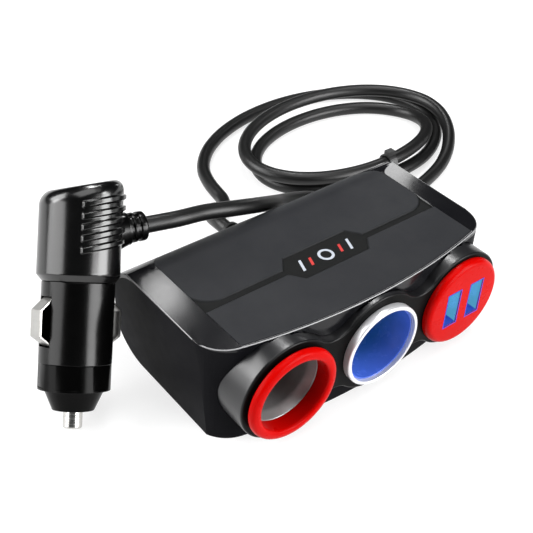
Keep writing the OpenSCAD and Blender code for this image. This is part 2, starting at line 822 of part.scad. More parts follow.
// The plug stands on its tip, leans back and is carried by its lead over the box's rear edge
plug_lean = 38.5;
plug_turn = 50.9;
plug_roll = -61;
tip_gap = 0.3;
tip_edge_r = 0.6;
plug_tip_z = (tip_r - tip_edge_r) * sin(plug_lean) + tip_edge_r * (1 - cos(plug_lean)) + tip_gap;
plug_tip = [plug_tip_x, plug_tip_y, plug_tip_z];
function turn_z(a, p) = [cos(a) * p.x - sin(a) * p.y, sin(a) * p.x + cos(a) * p.y, p.z];
function turn_y(a, p) = [cos(a) * p.x + sin(a) * p.z, p.y, cos(a) * p.z - sin(a) * p.x];
function plug_way(p) = turn_z(plug_turn, turn_y(plug_lean, turn_z(plug_roll, p)));

module on_plug(h = 0) {
    translate(plug_tip) rotate([0, plug_lean, plug_turn]) rotate([0, 0, plug_roll])
        translate([0, 0, h]) children();
}

// The neck's own axis leans up from the plug's X axis
neck_axis_h = 54.9;
neck_length = 19.8;
head_tilt = 13.5;
neck_way = plug_way([cos(head_tilt), 0, sin(head_tilt)]);
neck_end = plug_tip + plug_way([0, 0, neck_axis_h]) + neck_length * neck_way;

// Coil, seen from above clockwise: the first turns draw in, the rest widen again.
// The cord climbs onto its first turn, lies on it, and comes down before it leaves.
coil_turn_share = 1.25;
coil_open_share = 1.6;
coil_out_a = 62.5;
coil_in_a = 41.2;
coil_out_b = 41.3;
coil_in_b = 26.3;
coil_shift = 2.5;
coil_open_a = 12;
coil_open_b = 11;
coil_slide_x = 2;
coil_slide_y = 6.8;
slide_share = 0.2;
slide_run_share = 0.55;
coil_back = 3;
back_share = 1.5;
back_run_share = 0.45;
coil_climb = 6;
climb_share = 1.42;
climb_run_share = 0.3;
drop_share = 2.5;
drop_run_share = 0.2;
tie_share = 0.75;
tie_rise = 1;
tie_run_share = 0.1;
cord_r = cord_d / 2;
function ease(s) = s <= 0 ? 0 : s >= 1 ? 1 : s * s * (3 - 2 * s);
function coil_height(t) = cord_r
    + coil_climb * ease((t - climb_share) / climb_run_share) * (1 - ease((t - drop_share) / drop_run_share))
    + tie_rise * ease(1 - abs(t - tie_share) / tie_run_share);
function coil_at(t) =
    let (u = max(0, 1 - t / coil_turn_share), v = max(0, t - coil_open_share),
        slide = ease((t - slide_share) / slide_run_share),
        middle_x = coil_x - coil_slide_x * slide - coil_back * ease((t - back_share) / back_run_share),
        a = coil_in_a + (coil_out_a - coil_in_a) * u * u + coil_open_a * v * v,
        b = coil_in_b + (coil_out_b - coil_in_b) * u * u + coil_open_b * v * v)
    [
        middle_x - coil_shift * pow(u, 4) - a * cos(360 * t),
        coil_y - coil_slide_y * slide + b * sin(360 * t),
        coil_height(t),
    ];
coil_rings = 65;
loop_rings = 24;
coil_start = coil_at(0);
coil_end = coil_at(coil_rings / loop_rings);
step_share = 0.005;
start_way = unit(coil_at(step_share) - coil_start);
end_way = unit(coil_end - coil_at(coil_rings / loop_rings - step_share));
coil_points = concat(
    [coil_start - cord_d * start_way],
    [for (i = [0:coil_rings]) coil_at(i / loop_rings)],
    [coil_end + cord_d * end_way]
);
// The least gap of the coil's tube to itself, measured on points along its rings' middles
fine = [for (i = [0:len(coil_points) - 2], k = [0:3])
    coil_points[i] + (coil_points[i + 1] - coil_points[i]) * k / 4];
fine_loop = 2 * loop_rings;
coil_gap = min([for (i = [0:len(fine) - 1]) for (j = [i + fine_loop:1:len(fine) - 1])
    norm(fine[i] - fine[j])]) - cord_d;
echo(coil_gap = coil_gap);  // cord_coil

// Route of the cord from the box to the coil, and from the coil to the plug
body_lead_points = concat(
    [[0, rear_y + gland_out, gland_h], [0, rear_y + gland_out + cord_d, gland_h]],
    [[1.7, 57.2, 11.8], [4.2, 60.9, 9.3], [8.6, 64.5, 5.5], [13.5, 67.5, 3.6]],
    [coil_start - 2 * cord_d * start_way, coil_start - cord_d * start_way]
);
plug_lead_points = concat(
    [coil_end + cord_d * end_way, coil_end + 2 * cord_d * end_way],
    [
        [75.8, 37, 3.1], [64, 40.1, 4.3], [54.7, 42.5, 7.5], [44, 43, 11], [34, 42, 16.2], [25.4, 40.5, 20],
        [16, 37.4, 24.4], [8.5, 33.9, 28.7], [-3.2, 30, 34.4], [-12, 29.2, 37.3], [-20.9, 29.9, 39.2],
    ],
    [neck_end + 2 * cord_d * neck_way, neck_end + cord_d * neck_way, neck_end]
);

module cord_body_lead() color([0.05, 0.05, 0.05]) tube(body_lead_points, cord_r, 8);

module cord_coil() color([0.05, 0.05, 0.05]) tube(coil_points, cord_r, 6);

module cord_plug_lead() color([0.05, 0.05, 0.05]) tube(plug_lead_points, cord_r, 8);

// A band round the two strands that lie on each other
tie_gap = 0.3;
tie_t = 0.6;
tie_low = coil_at(tie_share);
tie_high = coil_at(tie_share + 1);
module tie_loop(r, w) {
    hull() for (strand = [tie_low, tie_high]) translate([tie_low.x, strand.y, strand.z])
        rotate([0, 90, 0]) cylinder(r = r, h = w, center = true, $fn = 32);
}

module cable_tie() color([0.05, 0.05, 0.05]) {
    difference() {
        tie_loop(cord_r + tie_gap + tie_t, tie_w);
        tie_loop(cord_r + tie_gap, tie_w + over);
    }
    translate([tie_low.x - tie_w / 2, tie_high.y - cord_r / 2, tie_high.z + cord_r + tie_gap + tie_t / 2])
        cube([tie_w, cord_r, tie_t * 3]);
}

// Heights along the plug, from its tip
cap_h = tip_out;
cap_ring_h = cap_h + cap_cone_d;
barrel_h = cap_ring_h + cap_ring_d + fit_gap;
taper_h = barrel_h + plug_barrel_d;
taper_d = 2;
head_h = taper_h + taper_d;
head_top_h = head_h + head_d;
spigot_d = 6.5;
spigot_r = 8;
head_spigot_d = 5.3;
spigot_set = 0.5;
fuse_h = barrel_h - spigot_d + spigot_set;
fuse_bore_r = fuse_r + 3 * fit_gap;
spring_d = 4.6;
tip_flange_t = 1.2;
tip_flange_r = 3.9;
tip_flange_h = fuse_h - spring_d - tip_flange_t - seat_gap;
cap_hole_gap = 0.1;
spring_room_r = 4.3;
head_reach = 11.2;
head_corner_r = 10.2;
head_bevel_w = 3.2;
head_bevel_d = 3.8;

// The head's outline: round at the rear, straight flanks and a flat face towards the neck
module head_outline(grow = 0) {
    intersection() {
        circle(r = head_r + grow, $fn = 96);
        translate([-2 * head_r, -2 * head_r]) square([2 * head_r, 4 * head_r]);
    }
    translate([0, -head_r - grow]) square([head_reach - head_corner_r, 2 * (head_r + grow)]);
    translate([0, -head_r + head_corner_r])
        square([head_reach + grow, 2 * (head_r - head_corner_r)]);
    for (side = [-1, 1]) translate([head_reach - head_corner_r, side * (head_r - head_corner_r)])
        circle(r = head_corner_r + grow, $fn = 48);
}

module head_slice(h, inset) {
    translate([0, 0, h]) rotate([0, -head_tilt, 0]) linear_extrude(height = seat_gap) head_outline(-inset);
}

// Slanted ribs on the flanks and round the corners of the face, clear of the neck
rib_count = 5;
rib_t = 1.6;
rib_out = 0.8;
rib_pitch = 3.17;
rib_first_drop = 5.5;
rib_back = 3.6;
neck_clear_r = 6.2;
module head_ribs() {
    for (i = [0:rib_count - 1]) intersection() {
        translate([0, 0, head_top_h - rib_first_drop - i * rib_pitch]) rotate([0, -head_tilt, 0])
            translate([-body_w, -body_w, -rib_t / 2]) cube([2 * body_w, 2 * body_w, rib_t]);
        translate([0, 0, head_h]) linear_extrude(height = head_d) difference() {
            head_outline(rib_out);
            translate([-2 * head_r, -2 * head_r]) square([2 * head_r - rib_back, 4 * head_r]);
            translate([head_reach - rib_out, -neck_clear_r]) square([2 * head_r, 2 * neck_clear_r]);
        }
    }
}

module plug_head() color([0.07, 0.07, 0.07]) on_plug() difference() {
    union() {
        difference() {
            translate([0, 0, head_h]) linear_extrude(height = 2 * head_d) head_outline();
            translate([0, 0, head_top_h - head_bevel_d]) rotate([0, -head_tilt, 0])
                translate([-body_w, -body_w, 0]) cube([2 * body_w, 2 * body_w, body_w]);
        }
        hull() {
            head_slice(head_top_h - head_bevel_d - seat_gap, seat_gap);
            head_slice(head_top_h - seat_gap, head_bevel_w);
        }
        head_ribs();
        translate([0, 0, taper_h + seat_gap])
            cylinder(r1 = plug_r, r2 = head_reach - seat_gap, h = taper_d - seat_gap);
    }
    translate([0, 0, taper_h])
        cylinder(r = spigot_r + cap_hole_gap, h = taper_d + head_spigot_d + seat_gap);
    translate([0, 0, head_h]) cylinder(r = tip_flange_r, h = head_spigot_d + fuse_terminal_d);
}

// A ribbed pad on the head's far flank
pad_t = 0.5;
pad_low = 3.4;
pad_high = 6;
pad_reach = 10.5;
module plug_grip_pad() color([0.09, 0.09, 0.09]) on_plug(head_h + pad_low) intersection() {
    linear_extrude(height = head_d - pad_low - pad_high) difference() {
        head_outline(pad_t + seat_gap);
        head_outline(seat_gap);
    }
    translate([-pad_reach, head_r / 2, 0])
        cube([pad_reach - rib_back - 2 * fit_gap, head_r, head_d]);
}

neck_r = 4.5;
neck_root_r = 5.5;
neck_root_length = 13.8;
neck_groove = 1.1;
neck_start = 10;
module plug_neck() color([0.07, 0.07, 0.07]) on_plug() intersection() {
    translate([0, 0, neck_axis_h]) rotate([0, 90 - head_tilt, 0]) difference() {
        union() {
            cylinder(r = neck_r, h = neck_length);
            translate([0, 0, neck_start])
                cylinder(r1 = neck_root_r + neck_groove / 2, r2 = neck_root_r - neck_groove / 2,
                    h = neck_root_length - neck_start);
        }
        for (i = [0:1]) translate([0, 0, neck_root_length + neck_groove * (1 / 2 + 2 * i)]) difference() {
            cylinder(r = neck_root_r + over, h = neck_groove);
            translate([0, 0, -over]) cylinder(r = neck_r - neck_groove / 2, h = neck_groove + 2 * over);
        }
    }
    translate([head_reach + seat_gap, -body_w / 2, 0]) cube([body_w, body_w, body_w]);
}

slot_w = leaf_w + 4 * fit_gap;
slot_floor_r = 5.9;
leaf_h = 5;
leaf_d = 13.7;
leaf_turn = 10.6;
leaf_slope_low = 2.6;
leaf_slope_high = 3.5;
leaf_t = 0.8;
leaf_foot_r = 9.4;
module plug_barrel() color([0.06, 0.06, 0.06]) on_plug() difference() {
    union() {
        translate([0, 0, barrel_h]) cylinder(r = plug_r, h = plug_barrel_d);
        translate([0, 0, taper_h]) cylinder(r = spigot_r, h = taper_d + head_spigot_d);
        translate([0, 0, barrel_h - spigot_d]) cylinder(r = spigot_r, h = spigot_d + over);
    }
    cylinder(r = fuse_bore_r, h = head_top_h);
    for (turn = [0, 180]) rotate([0, 0, turn + leaf_turn])
        translate([slot_floor_r, -slot_w / 2, barrel_h + leaf_h - 2 * fit_gap])
            cube([plug_r - slot_floor_r + over, slot_w, leaf_d + 4 * fit_gap]);
}

flat_count = 6;
flat_in = 0.5;
cap_tip_r = 6;
cap_cone_r = 8.5;
cap_step_d = 0.3;
cap_lip = 0.1;
module plug_nose_cap() color([0.06, 0.06, 0.06]) on_plug() difference() {
    union() {
        translate([0, 0, cap_h]) cylinder(r1 = cap_tip_r, r2 = cap_cone_r, h = cap_cone_d - cap_step_d);
        translate([0, 0, cap_ring_h - cap_step_d])
            cylinder(r1 = cap_cone_r, r2 = plug_r - cap_lip, h = cap_step_d);
        translate([0, 0, cap_ring_h]) cylinder(r = plug_r - cap_lip, h = cap_ring_d);
    }
    translate([0, 0, cap_h - over]) cylinder(r = tip_r + cap_hole_gap, h = cap_cone_d + 2 * over);
    translate([0, 0, tip_flange_h - cap_hole_gap]) cylinder(r = spring_room_r, h = cap_ring_d + cap_cone_d);
    translate([0, 0, barrel_h - spigot_d - spigot_set])
        cylinder(r = spigot_r + cap_hole_gap, h = cap_ring_d + cap_cone_d);
    for (i = [0:flat_count - 1]) rotate([0, 0, 360 / flat_count * i])
        translate([plug_r - cap_lip - flat_in, -plug_r, cap_ring_h + 2 * cap_step_d])
            cube([plug_r, 2 * plug_r, cap_ring_d]);
}

module plug_tip_pin() color([0.75, 0.75, 0.76]) on_plug() {
    rotate_extrude() {
        square([tip_r - tip_edge_r, 2 * tip_edge_r]);
        translate([tip_r - tip_edge_r, tip_edge_r]) intersection() {
            circle(r = tip_edge_r, $fn = 48);
            translate([0, -tip_edge_r]) square([tip_edge_r, tip_edge_r]);
        }
    }
    translate([0, 0, tip_edge_r]) cylinder(r = tip_r, h = tip_flange_h - tip_edge_r + tip_flange_t);
    translate([0, 0, tip_flange_h]) cylinder(r = tip_flange_r, h = tip_flange_t);
}

tip_spring_wire = 0.7;
module plug_tip_spring() color([0.7, 0.7, 0.72])
    on_plug(tip_flange_h + tip_flange_t + seat_gap) difference() {
        cylinder(r = fuse_r, h = spring_d - 2 * seat_gap);
        translate([0, 0, -over]) cylinder(r = fuse_r - tip_spring_wire, h = spring_d + 2 * over);
    }

module plug_fuse() color([0.8, 0.8, 0.78]) on_plug(fuse_h) cylinder(r = fuse_r, h = fuse_d);

fuse_terminal_d = 1.6;
module fuse_terminal() color([0.8, 0.65, 0.3]) on_plug(fuse_h + fuse_d + cap_hole_gap)
    cylinder(r = fuse_bore_r - seat_gap, h = fuse_terminal_d);

// A side contact: a bent strip whose flat middle stands out of its slot
module side_leaf() {
    top_r = plug_r + leaf_out;
    translate([0, leaf_w / 2, barrel_h + leaf_h]) rotate([90, 0, 0]) linear_extrude(height = leaf_w) polygon([
        [leaf_foot_r, 0],
        [top_r, leaf_slope_low],
        [top_r, leaf_d - leaf_slope_high],
        [leaf_foot_r, leaf_d],
        [leaf_foot_r - leaf_t, leaf_d],
        [top_r - leaf_t, leaf_d - leaf_slope_high - leaf_t / 3],
        [top_r - leaf_t, leaf_slope_low + leaf_t / 3],
        [leaf_foot_r - leaf_t, 0],
    ]);
}

module side_contact_left() color([0.75, 0.75, 0.76]) on_plug()
    rotate([0, 0, 180 + leaf_turn]) side_leaf();

module side_contact_right() color([0.75, 0.75, 0.76]) on_plug() rotate([0, 0, leaf_turn]) side_leaf();

lower_case();
top_cover();
centre_panel();
front_bezel();
left_trim_ring();
left_socket_barrel();
left_socket_base();
left_centre_contact();
left_contact_spring();
middle_trim_ring();
middle_glow_liner();
middle_socket_barrel();
middle_socket_base();
middle_centre_contact();
middle_contact_spring();
glow_board();
glow_leds();
usb_faceplate();
usb_port_left();
usb_port_right();
usb_tongues();
usb_board();
power_inductor();
board_capacitors();
supply_wires();
ground_wires();
cover_screws();
cord_gland();
cord_body_lead();
cord_coil();
cord_plug_lead();
cable_tie();
plug_neck();
plug_head();
plug_grip_pad();
plug_barrel();
plug_nose_cap();
plug_tip_pin();
plug_tip_spring();
plug_fuse();
fuse_terminal();
side_contact_left();
side_contact_right();
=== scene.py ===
# Dresses the car power socket splitter, lights it and sets the camera
import json
import math
import bmesh
import bpy
import numpy as np
from mathutils import Euler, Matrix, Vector


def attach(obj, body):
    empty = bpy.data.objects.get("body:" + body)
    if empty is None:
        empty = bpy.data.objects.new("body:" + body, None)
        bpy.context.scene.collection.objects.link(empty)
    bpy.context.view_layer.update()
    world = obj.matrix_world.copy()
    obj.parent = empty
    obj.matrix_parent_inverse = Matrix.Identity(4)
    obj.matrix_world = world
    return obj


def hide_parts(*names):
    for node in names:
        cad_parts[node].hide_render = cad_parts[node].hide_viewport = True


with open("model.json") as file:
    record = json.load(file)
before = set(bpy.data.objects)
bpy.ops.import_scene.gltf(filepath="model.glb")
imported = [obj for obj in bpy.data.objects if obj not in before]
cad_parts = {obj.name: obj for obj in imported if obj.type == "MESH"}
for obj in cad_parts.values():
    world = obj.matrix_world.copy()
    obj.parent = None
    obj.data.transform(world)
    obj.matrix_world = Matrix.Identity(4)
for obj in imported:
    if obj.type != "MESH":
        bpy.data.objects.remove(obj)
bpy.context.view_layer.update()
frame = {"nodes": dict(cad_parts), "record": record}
nodes = frame["nodes"]
collection = bpy.context.scene.collection
mm = 0.001
mergeWithin = 2e-6  # metres, for doubles along seams
socketHeight = 18.4  # of the sockets' axes
turnSteps = {"ring": 160, "neck": 96, "tip": 64}

# Camera, fitted to the box's edges and rings in the photograph
cameraSet = {
    "place": (-0.16062, -0.17013, 0.21245),
    "turn": (51.44932, -2.19161, -37.88160),
    "lens": 64.87,
    "near": 0.01,
    "far": 50,
}


def addCamera(look):
    camera = bpy.data.objects.new("photoCamera", bpy.data.cameras.new("photoCamera"))
    collection.objects.link(camera)
    camera.location = look["place"]
    camera.rotation_euler = [math.radians(angle) for angle in look["turn"]]
    camera.data.lens = look["lens"]
    camera.data.clip_start = look["near"]
    camera.data.clip_end = look["far"]
    bpy.context.scene.camera = camera


addCamera(cameraSet)
print("camera placed")


# Corners of a grid of points become quads; a seam or pole closes when its doubles merge.
# The UV map is the length along the rows and along the columns, in metres.
def gridMesh(name, grids, keepUv=False):
    points, quads, uvs, start = [], [], [], 0
    for grid in grids:
        grid = np.asarray(grid, float) * mm
        rows, columns = grid.shape[:2]
        index = np.arange(rows * columns).reshape(rows, columns) + start
        quad = np.stack([index[:-1, :-1], index[:-1, 1:], index[1:, 1:], index[1:, :-1]], -1)
        quads.append(quad.reshape(-1, 4))
        points.append(grid.reshape(-1, 3))
        along = np.linalg.norm(np.diff(grid, axis=0), axis=2).mean(axis=1)
        across = np.linalg.norm(np.diff(grid, axis=1), axis=2).mean(axis=0)
        u = np.concatenate([[0], np.cumsum(along)])
        v = np.concatenate([[0], np.cumsum(across)])
        uvs.append(np.stack(np.meshgrid(u, v, indexing="ij"), -1).reshape(-1, 2))
        start += rows * columns
    points, quads, uvs = np.concatenate(points), np.concatenate(quads), np.concatenate(uvs)
    mesh = bpy.data.meshes.new(name)
    mesh.from_pydata(points.tolist(), [], quads.tolist())
    if keepUv:
        layer = mesh.uv_layers.new(name="surface")
        layer.data.foreach_set("uv", uvs[quads.reshape(-1)].reshape(-1).astype(np.float32))
    return mesh


def smoothMesh(mesh, sharpAngle):
    mesh.polygons.foreach_set("use_smooth", [True] * len(mesh.polygons))
    mesh.set_sharp_from_angle(angle=math.radians(sharpAngle))


def cleanMesh(mesh, sharpAngle=35):
    work = bmesh.new()
    work.from_mesh(mesh)
    bmesh.ops.remove_doubles(work, verts=work.verts, dist=mergeWithin)
    bmesh.ops.recalc_face_normals(work, faces=work.faces)
    work.to_mesh(mesh)
    work.free()
    smoothMesh(mesh, sharpAngle)


# A finished mesh takes its material, its body and the nodes that it stands for
def addPiece(name, mesh, slotName, body="root", stands=(), finish=None):
    piece = bpy.data.objects.new(name, mesh)
    collection.objects.link(piece)
    mesh.materials.clear()
    mesh.materials.append(finish or finishes[slotName])
    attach(piece, body)
    if stands:
        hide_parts(*stands)
    return piece


def gridPiece(name, grids, slotName, body="root", stands=(), sharpAngle=35, keepUv=False, finish=None):
    mesh = gridMesh(name, grids, keepUv)
    cleanMesh(mesh, sharpAngle)
    return addPiece(name, mesh, slotName, body, stands, finish)


# Each corner of a closed profile becomes a parabola between points one cut away on its edges
def softened(corners, cuts, steps=6):
    corners = np.asarray(corners, float)
    cuts = np.broadcast_to(np.asarray(cuts, float), len(corners))[:, None]
    before = np.roll(corners, 1, axis=0) - corners
    after = np.roll(corners, -1, axis=0) - corners
    start = corners + before / np.linalg.norm(before, axis=1, keepdims=True) * cuts
    end = corners + after / np.linalg.norm(after, axis=1, keepdims=True) * cuts
    s = np.linspace(0, 1, steps)[None, :, None]
    bend = (1 - s) ** 2 * start[:, None] + 2 * s * (1 - s) * corners[:, None] + s**2 * end[:, None]
    return bend.reshape(-1, 2)


# A closed profile of radius and distance turned about an axis: x = r cos a, y = r sin a, z = d
def turned(profile, steps):
    profile = np.vstack([profile, profile[:1]])
    angle = np.linspace(0, 2 * np.pi, steps + 1)
    r, d = profile[:, :1], profile[:, 1:]
    return np.stack([r * np.cos(angle), r * np.sin(angle), d + 0 * angle], -1)


# Points on a socket's axis: local x and y across, local z towards the rear
def onSocket(grid, x, y):
    return np.stack([x + grid[..., 0], y + grid[..., 2], socketHeight - grid[..., 1]], -1)


plugSet = {"tip": (-83.4, 7.1, 1.769), "lean": 38.5, "turn": 50.9, "roll": -61}
plugTurn = (
    Euler((0, 0, math.radians(plugSet["turn"]))).to_matrix()
    @ Euler((0, math.radians(plugSet["lean"]), 0)).to_matrix()
    @ Euler((0, 0, math.radians(plugSet["roll"]))).to_matrix()
)
plugMatrix = np.array(plugTurn)


# Points in the plug's own axes, from its tip, brought to the plug's place
def onPlug(grid):
    return grid @ plugMatrix.T + np.array(plugSet["tip"])


# Points about the neck's axis, which leans up from the plug's X axis
neckSet = {"height": 54.9, "tilt": 13.5, "end": 19.8}


def onNeck(grid):
    t = math.radians(neckSet["tilt"])
    x = grid[..., 2] * math.cos(t) - grid[..., 0] * math.sin(t)
    z = neckSet["height"] + grid[..., 2] * math.sin(t) + grid[..., 0] * math.cos(t)
    return onPlug(np.stack([x, grid[..., 1], z], -1))


# Shader nodes
def addNode(tree, kind, **inputs):
    node = tree.nodes.new(kind)
    for name, value in inputs.items():
        node.inputs[name.replace("_", " ")].default_value = value
    return node


def newMaterial(name):
    material = bpy.data.materials.new(name)
    material.use_nodes = True
    tree = material.node_tree
    return material, tree, tree.nodes["Principled BSDF"]


# Noise by its use: scale, unless a look gives its own, then detail and roughness
noiseSet = {
    "mottle": (70, 4, 0.5),
    "gloss": (260, 5, 0.6),
    "grain": (2600, 2, 0.5),
    "patch": (160, 4, 0.5),
    "rings": (2600, 5, 0.65),
    "cloud": (300, 3, 0.5),
    "lines": (1, 4, 0.5),
    "jacketGrain": (1600, 3, 0.5),
}


def noiseOn(tree, vector, use, look):
    scale, detail, rough = noiseSet[use]
    noise = addNode(
        tree, "ShaderNodeTexNoise",
        Scale=look.get(use, scale), Detail=detail, Roughness=rough,
    )
    tree.links.new(vector, noise.inputs["Vector"])
    return noise.outputs["Fac"]


def rangeOf(tree, source, low, high, fromLow=0.3, fromHigh=0.7):
    node = addNode(
        tree, "ShaderNodeMapRange",
        From_Min=fromLow, From_Max=fromHigh, To_Min=low, To_Max=high,
    )
    tree.links.new(source, node.inputs["Value"])
    return node.outputs["Result"]


def mixOf(tree, source, first, second):
    node = tree.nodes.new("ShaderNodeMix")
    node.data_type = "RGBA"
    node.inputs["A"].default_value = (*first, 1)
    node.inputs["B"].default_value = (*second, 1)
    tree.links.new(source, node.inputs["Factor"])
    return node.outputs["Result"]


# A colour that is linked already gives way to another as the factor rises
def mixOnto(tree, source, plain, second):
    node = tree.nodes.new("ShaderNodeMix")
    node.data_type = "RGBA"
    node.inputs["B"].default_value = (*second, 1)
    tree.links.new(source, node.inputs["Factor"])
    tree.links.new(plain, node.inputs["A"])
    return node.outputs["Result"]


def bumpOf(tree, shader, source, strength, distance):
    bump = addNode(tree, "ShaderNodeBump", Strength=strength, Distance=distance)
    tree.links.new(source, bump.inputs["Height"])
    tree.links.new(bump.outputs["Normal"], shader.inputs["Normal"])


# Constants go straight onto the shader's own sockets
def setShader(shader, look):
    for key, socket in (
        ("metal", "Metallic"), ("specular", "Specular IOR Level"),
        ("clear", "Transmission Weight"), ("glow", "Emission Strength"),
    ):
        if key in look:
            shader.inputs[socket].default_value = look[key]
    if "glowColour" in look:
        shader.inputs["Emission Color"].default_value = (*look["glowColour"], 1)


# The base colour wanders between two tones, the roughness between two values
def setTones(tree, shader, tone, gloss, look):
    colour = mixOf(tree, rangeOf(tree, tone, 0, 1), look["colour"], look["colour2"])
    tree.links.new(colour, shader.inputs["Base Color"])
    tree.links.new(rangeOf(tree, gloss, *look["rough"]), shader.inputs["Roughness"])


# Moulded plastic: slow mottling of the colour, uneven gloss and a fine grain in the surface
def mouldedFinish(name, look):
    material, tree, shader = newMaterial(name)
    where = tree.nodes.new("ShaderNodeTexCoord").outputs["Object"]
    slow = noiseOn(tree, where, "mottle", look)
    gloss = noiseOn(tree, where, "gloss", look)
    setTones(tree, shader, slow, gloss, look)
    grain = noiseOn(tree, where, "grain", look)
    bumpOf(tree, shader, grain, look.get("grainStrength", 0.15), look.get("grainDepth", 0.00004))
    setShader(shader, look)
    return material


# Moulded plastic whose colour and sheen change where the piece's own attribute rises to one: there its colour
# is a painted shade
def shadeZoneFinish(name, look):
    material = mouldedFinish(name, look)
    tree = material.node_tree
    shader = tree.nodes["Principled BSDF"]
    plain = shader.inputs["Base Color"].links[0].from_socket
    shadeZone = tree.nodes.new("ShaderNodeAttribute")
    shadeZone.attribute_name = "shadeZone"
    colour = mixOnto(tree, shadeZone.outputs["Fac"], plain, look["shadeColour"])
    tree.links.new(colour, shader.inputs["Base Color"])
    sheen = rangeOf(tree, shadeZone.outputs["Fac"], look["specular"], look["zoneSpecular"], 0, 1)
    tree.links.new(sheen, shader.inputs["Specular IOR Level"])
    return material


# The attribute marks where the painted shade goes
def markShadeZone(mesh, rule):
    places = np.empty(len(mesh.vertices) * 3)
    mesh.vertices.foreach_get("co", places)
    places = places.reshape(-1, 3) / mm
    shadeZone = mesh.attributes.new("shadeZone", "FLOAT", "POINT")
    shadeZone.data.foreach_set("value", rule(places).astype(np.float32))


# Turned or drawn metal: fine rings, a function of the distances from and along an axis
def turnedFinish(name, look):
    material, tree, shader = newMaterial(name)
    where = tree.nodes.new("ShaderNodeTexCoord").outputs["Object"]
    axis = tree.nodes.new("ShaderNodeMapping")
    axis.vector_type = "TEXTURE"
    axis.inputs["Location"].default_value = look["centre"]
    axis.inputs["Rotation"].default_value = look["axisTurn"]
    tree.links.new(where, axis.inputs["Vector"])
    parts = tree.nodes.new("ShaderNodeSeparateXYZ")
    tree.links.new(axis.outputs["Vector"], parts.inputs["Vector"])
    flat = tree.nodes.new("ShaderNodeCombineXYZ")
    tree.links.new(parts.outputs["X"], flat.inputs["X"])
    tree.links.new(parts.outputs["Y"], flat.inputs["Y"])
    radius = tree.nodes.new("ShaderNodeVectorMath")
    radius.operation = "LENGTH"
    tree.links.new(flat.outputs["Vector"], radius.inputs[0])
    rings = tree.nodes.new("ShaderNodeCombineXYZ")
    tree.links.new(radius.outputs["Value"], rings.inputs["X"])
    tree.links.new(parts.outputs["Z"], rings.inputs["Y"])
    fine = noiseOn(tree, rings.outputs["Vector"], "rings", look)
    patch = noiseOn(tree, where, "patch", look)
    setTones(tree, shader, patch, fine, look)
    bumpOf(tree, shader, fine, look.get("ringStrength", 0.25), look.get("ringDepth", 0.00003))
    setShader(shader, look)
    return material


# A lit moulding: its glow changes along one axis between two places, and on walls that face -X. On the USB
# steel and tongue this glow is painted LED light, brighter on the walls that face -X.
def litFinish(name, look):
    material, tree, shader = newMaterial(name)
    where = tree.nodes.new("ShaderNodeTexCoord").outputs["Object"]
    parts = tree.nodes.new("ShaderNodeSeparateXYZ")
    tree.links.new(where, parts.inputs["Vector"])
    along = rangeOf(tree, parts.outputs[look["axis"]], 0, 1, look["from"], look["to"])
    cloud = noiseOn(tree, where, "cloud", look)
    glow = mixOf(tree, along, look["glowLow"], look["glowHigh"])
    if "paintedLightFacing" in look:
        facing = tree.nodes.new("ShaderNodeSeparateXYZ")
        tree.links.new(tree.nodes.new("ShaderNodeTexCoord").outputs["Normal"], facing.inputs["Vector"])
        faced = rangeOf(tree, facing.outputs["X"], 1, 0, *look["facingRange"])
        glow = mixOnto(tree, faced, glow, look["paintedLightFacing"])
    tree.links.new(glow, shader.inputs["Emission Color"])
    setTones(tree, shader, cloud, cloud, look)
    setShader(shader, look)
    return material


# Cord jacket: faint marks along its length, from the piece's own UV map
def jacketFinish(name, look):
    material, tree, shader = newMaterial(name)
    where = tree.nodes.new("ShaderNodeUVMap")
    where.uv_map = "surface"
    stretch = tree.nodes.new("ShaderNodeMapping")
    stretch.inputs["Scale"].default_value = look["stretch"]
    tree.links.new(where.outputs["UV"], stretch.inputs["Vector"])
    lines = noiseOn(tree, stretch.outputs["Vector"], "lines", look)
    space = tree.nodes.new("ShaderNodeTexCoord").outputs["Object"]
    grain = noiseOn(tree, space, "jacketGrain", look)
    setTones(tree, shader, lines, lines, look)
    bumpOf(tree, shader, grain, look["grainStrength"], look["grainDepth"])
    setShader(shader, look)
    return material


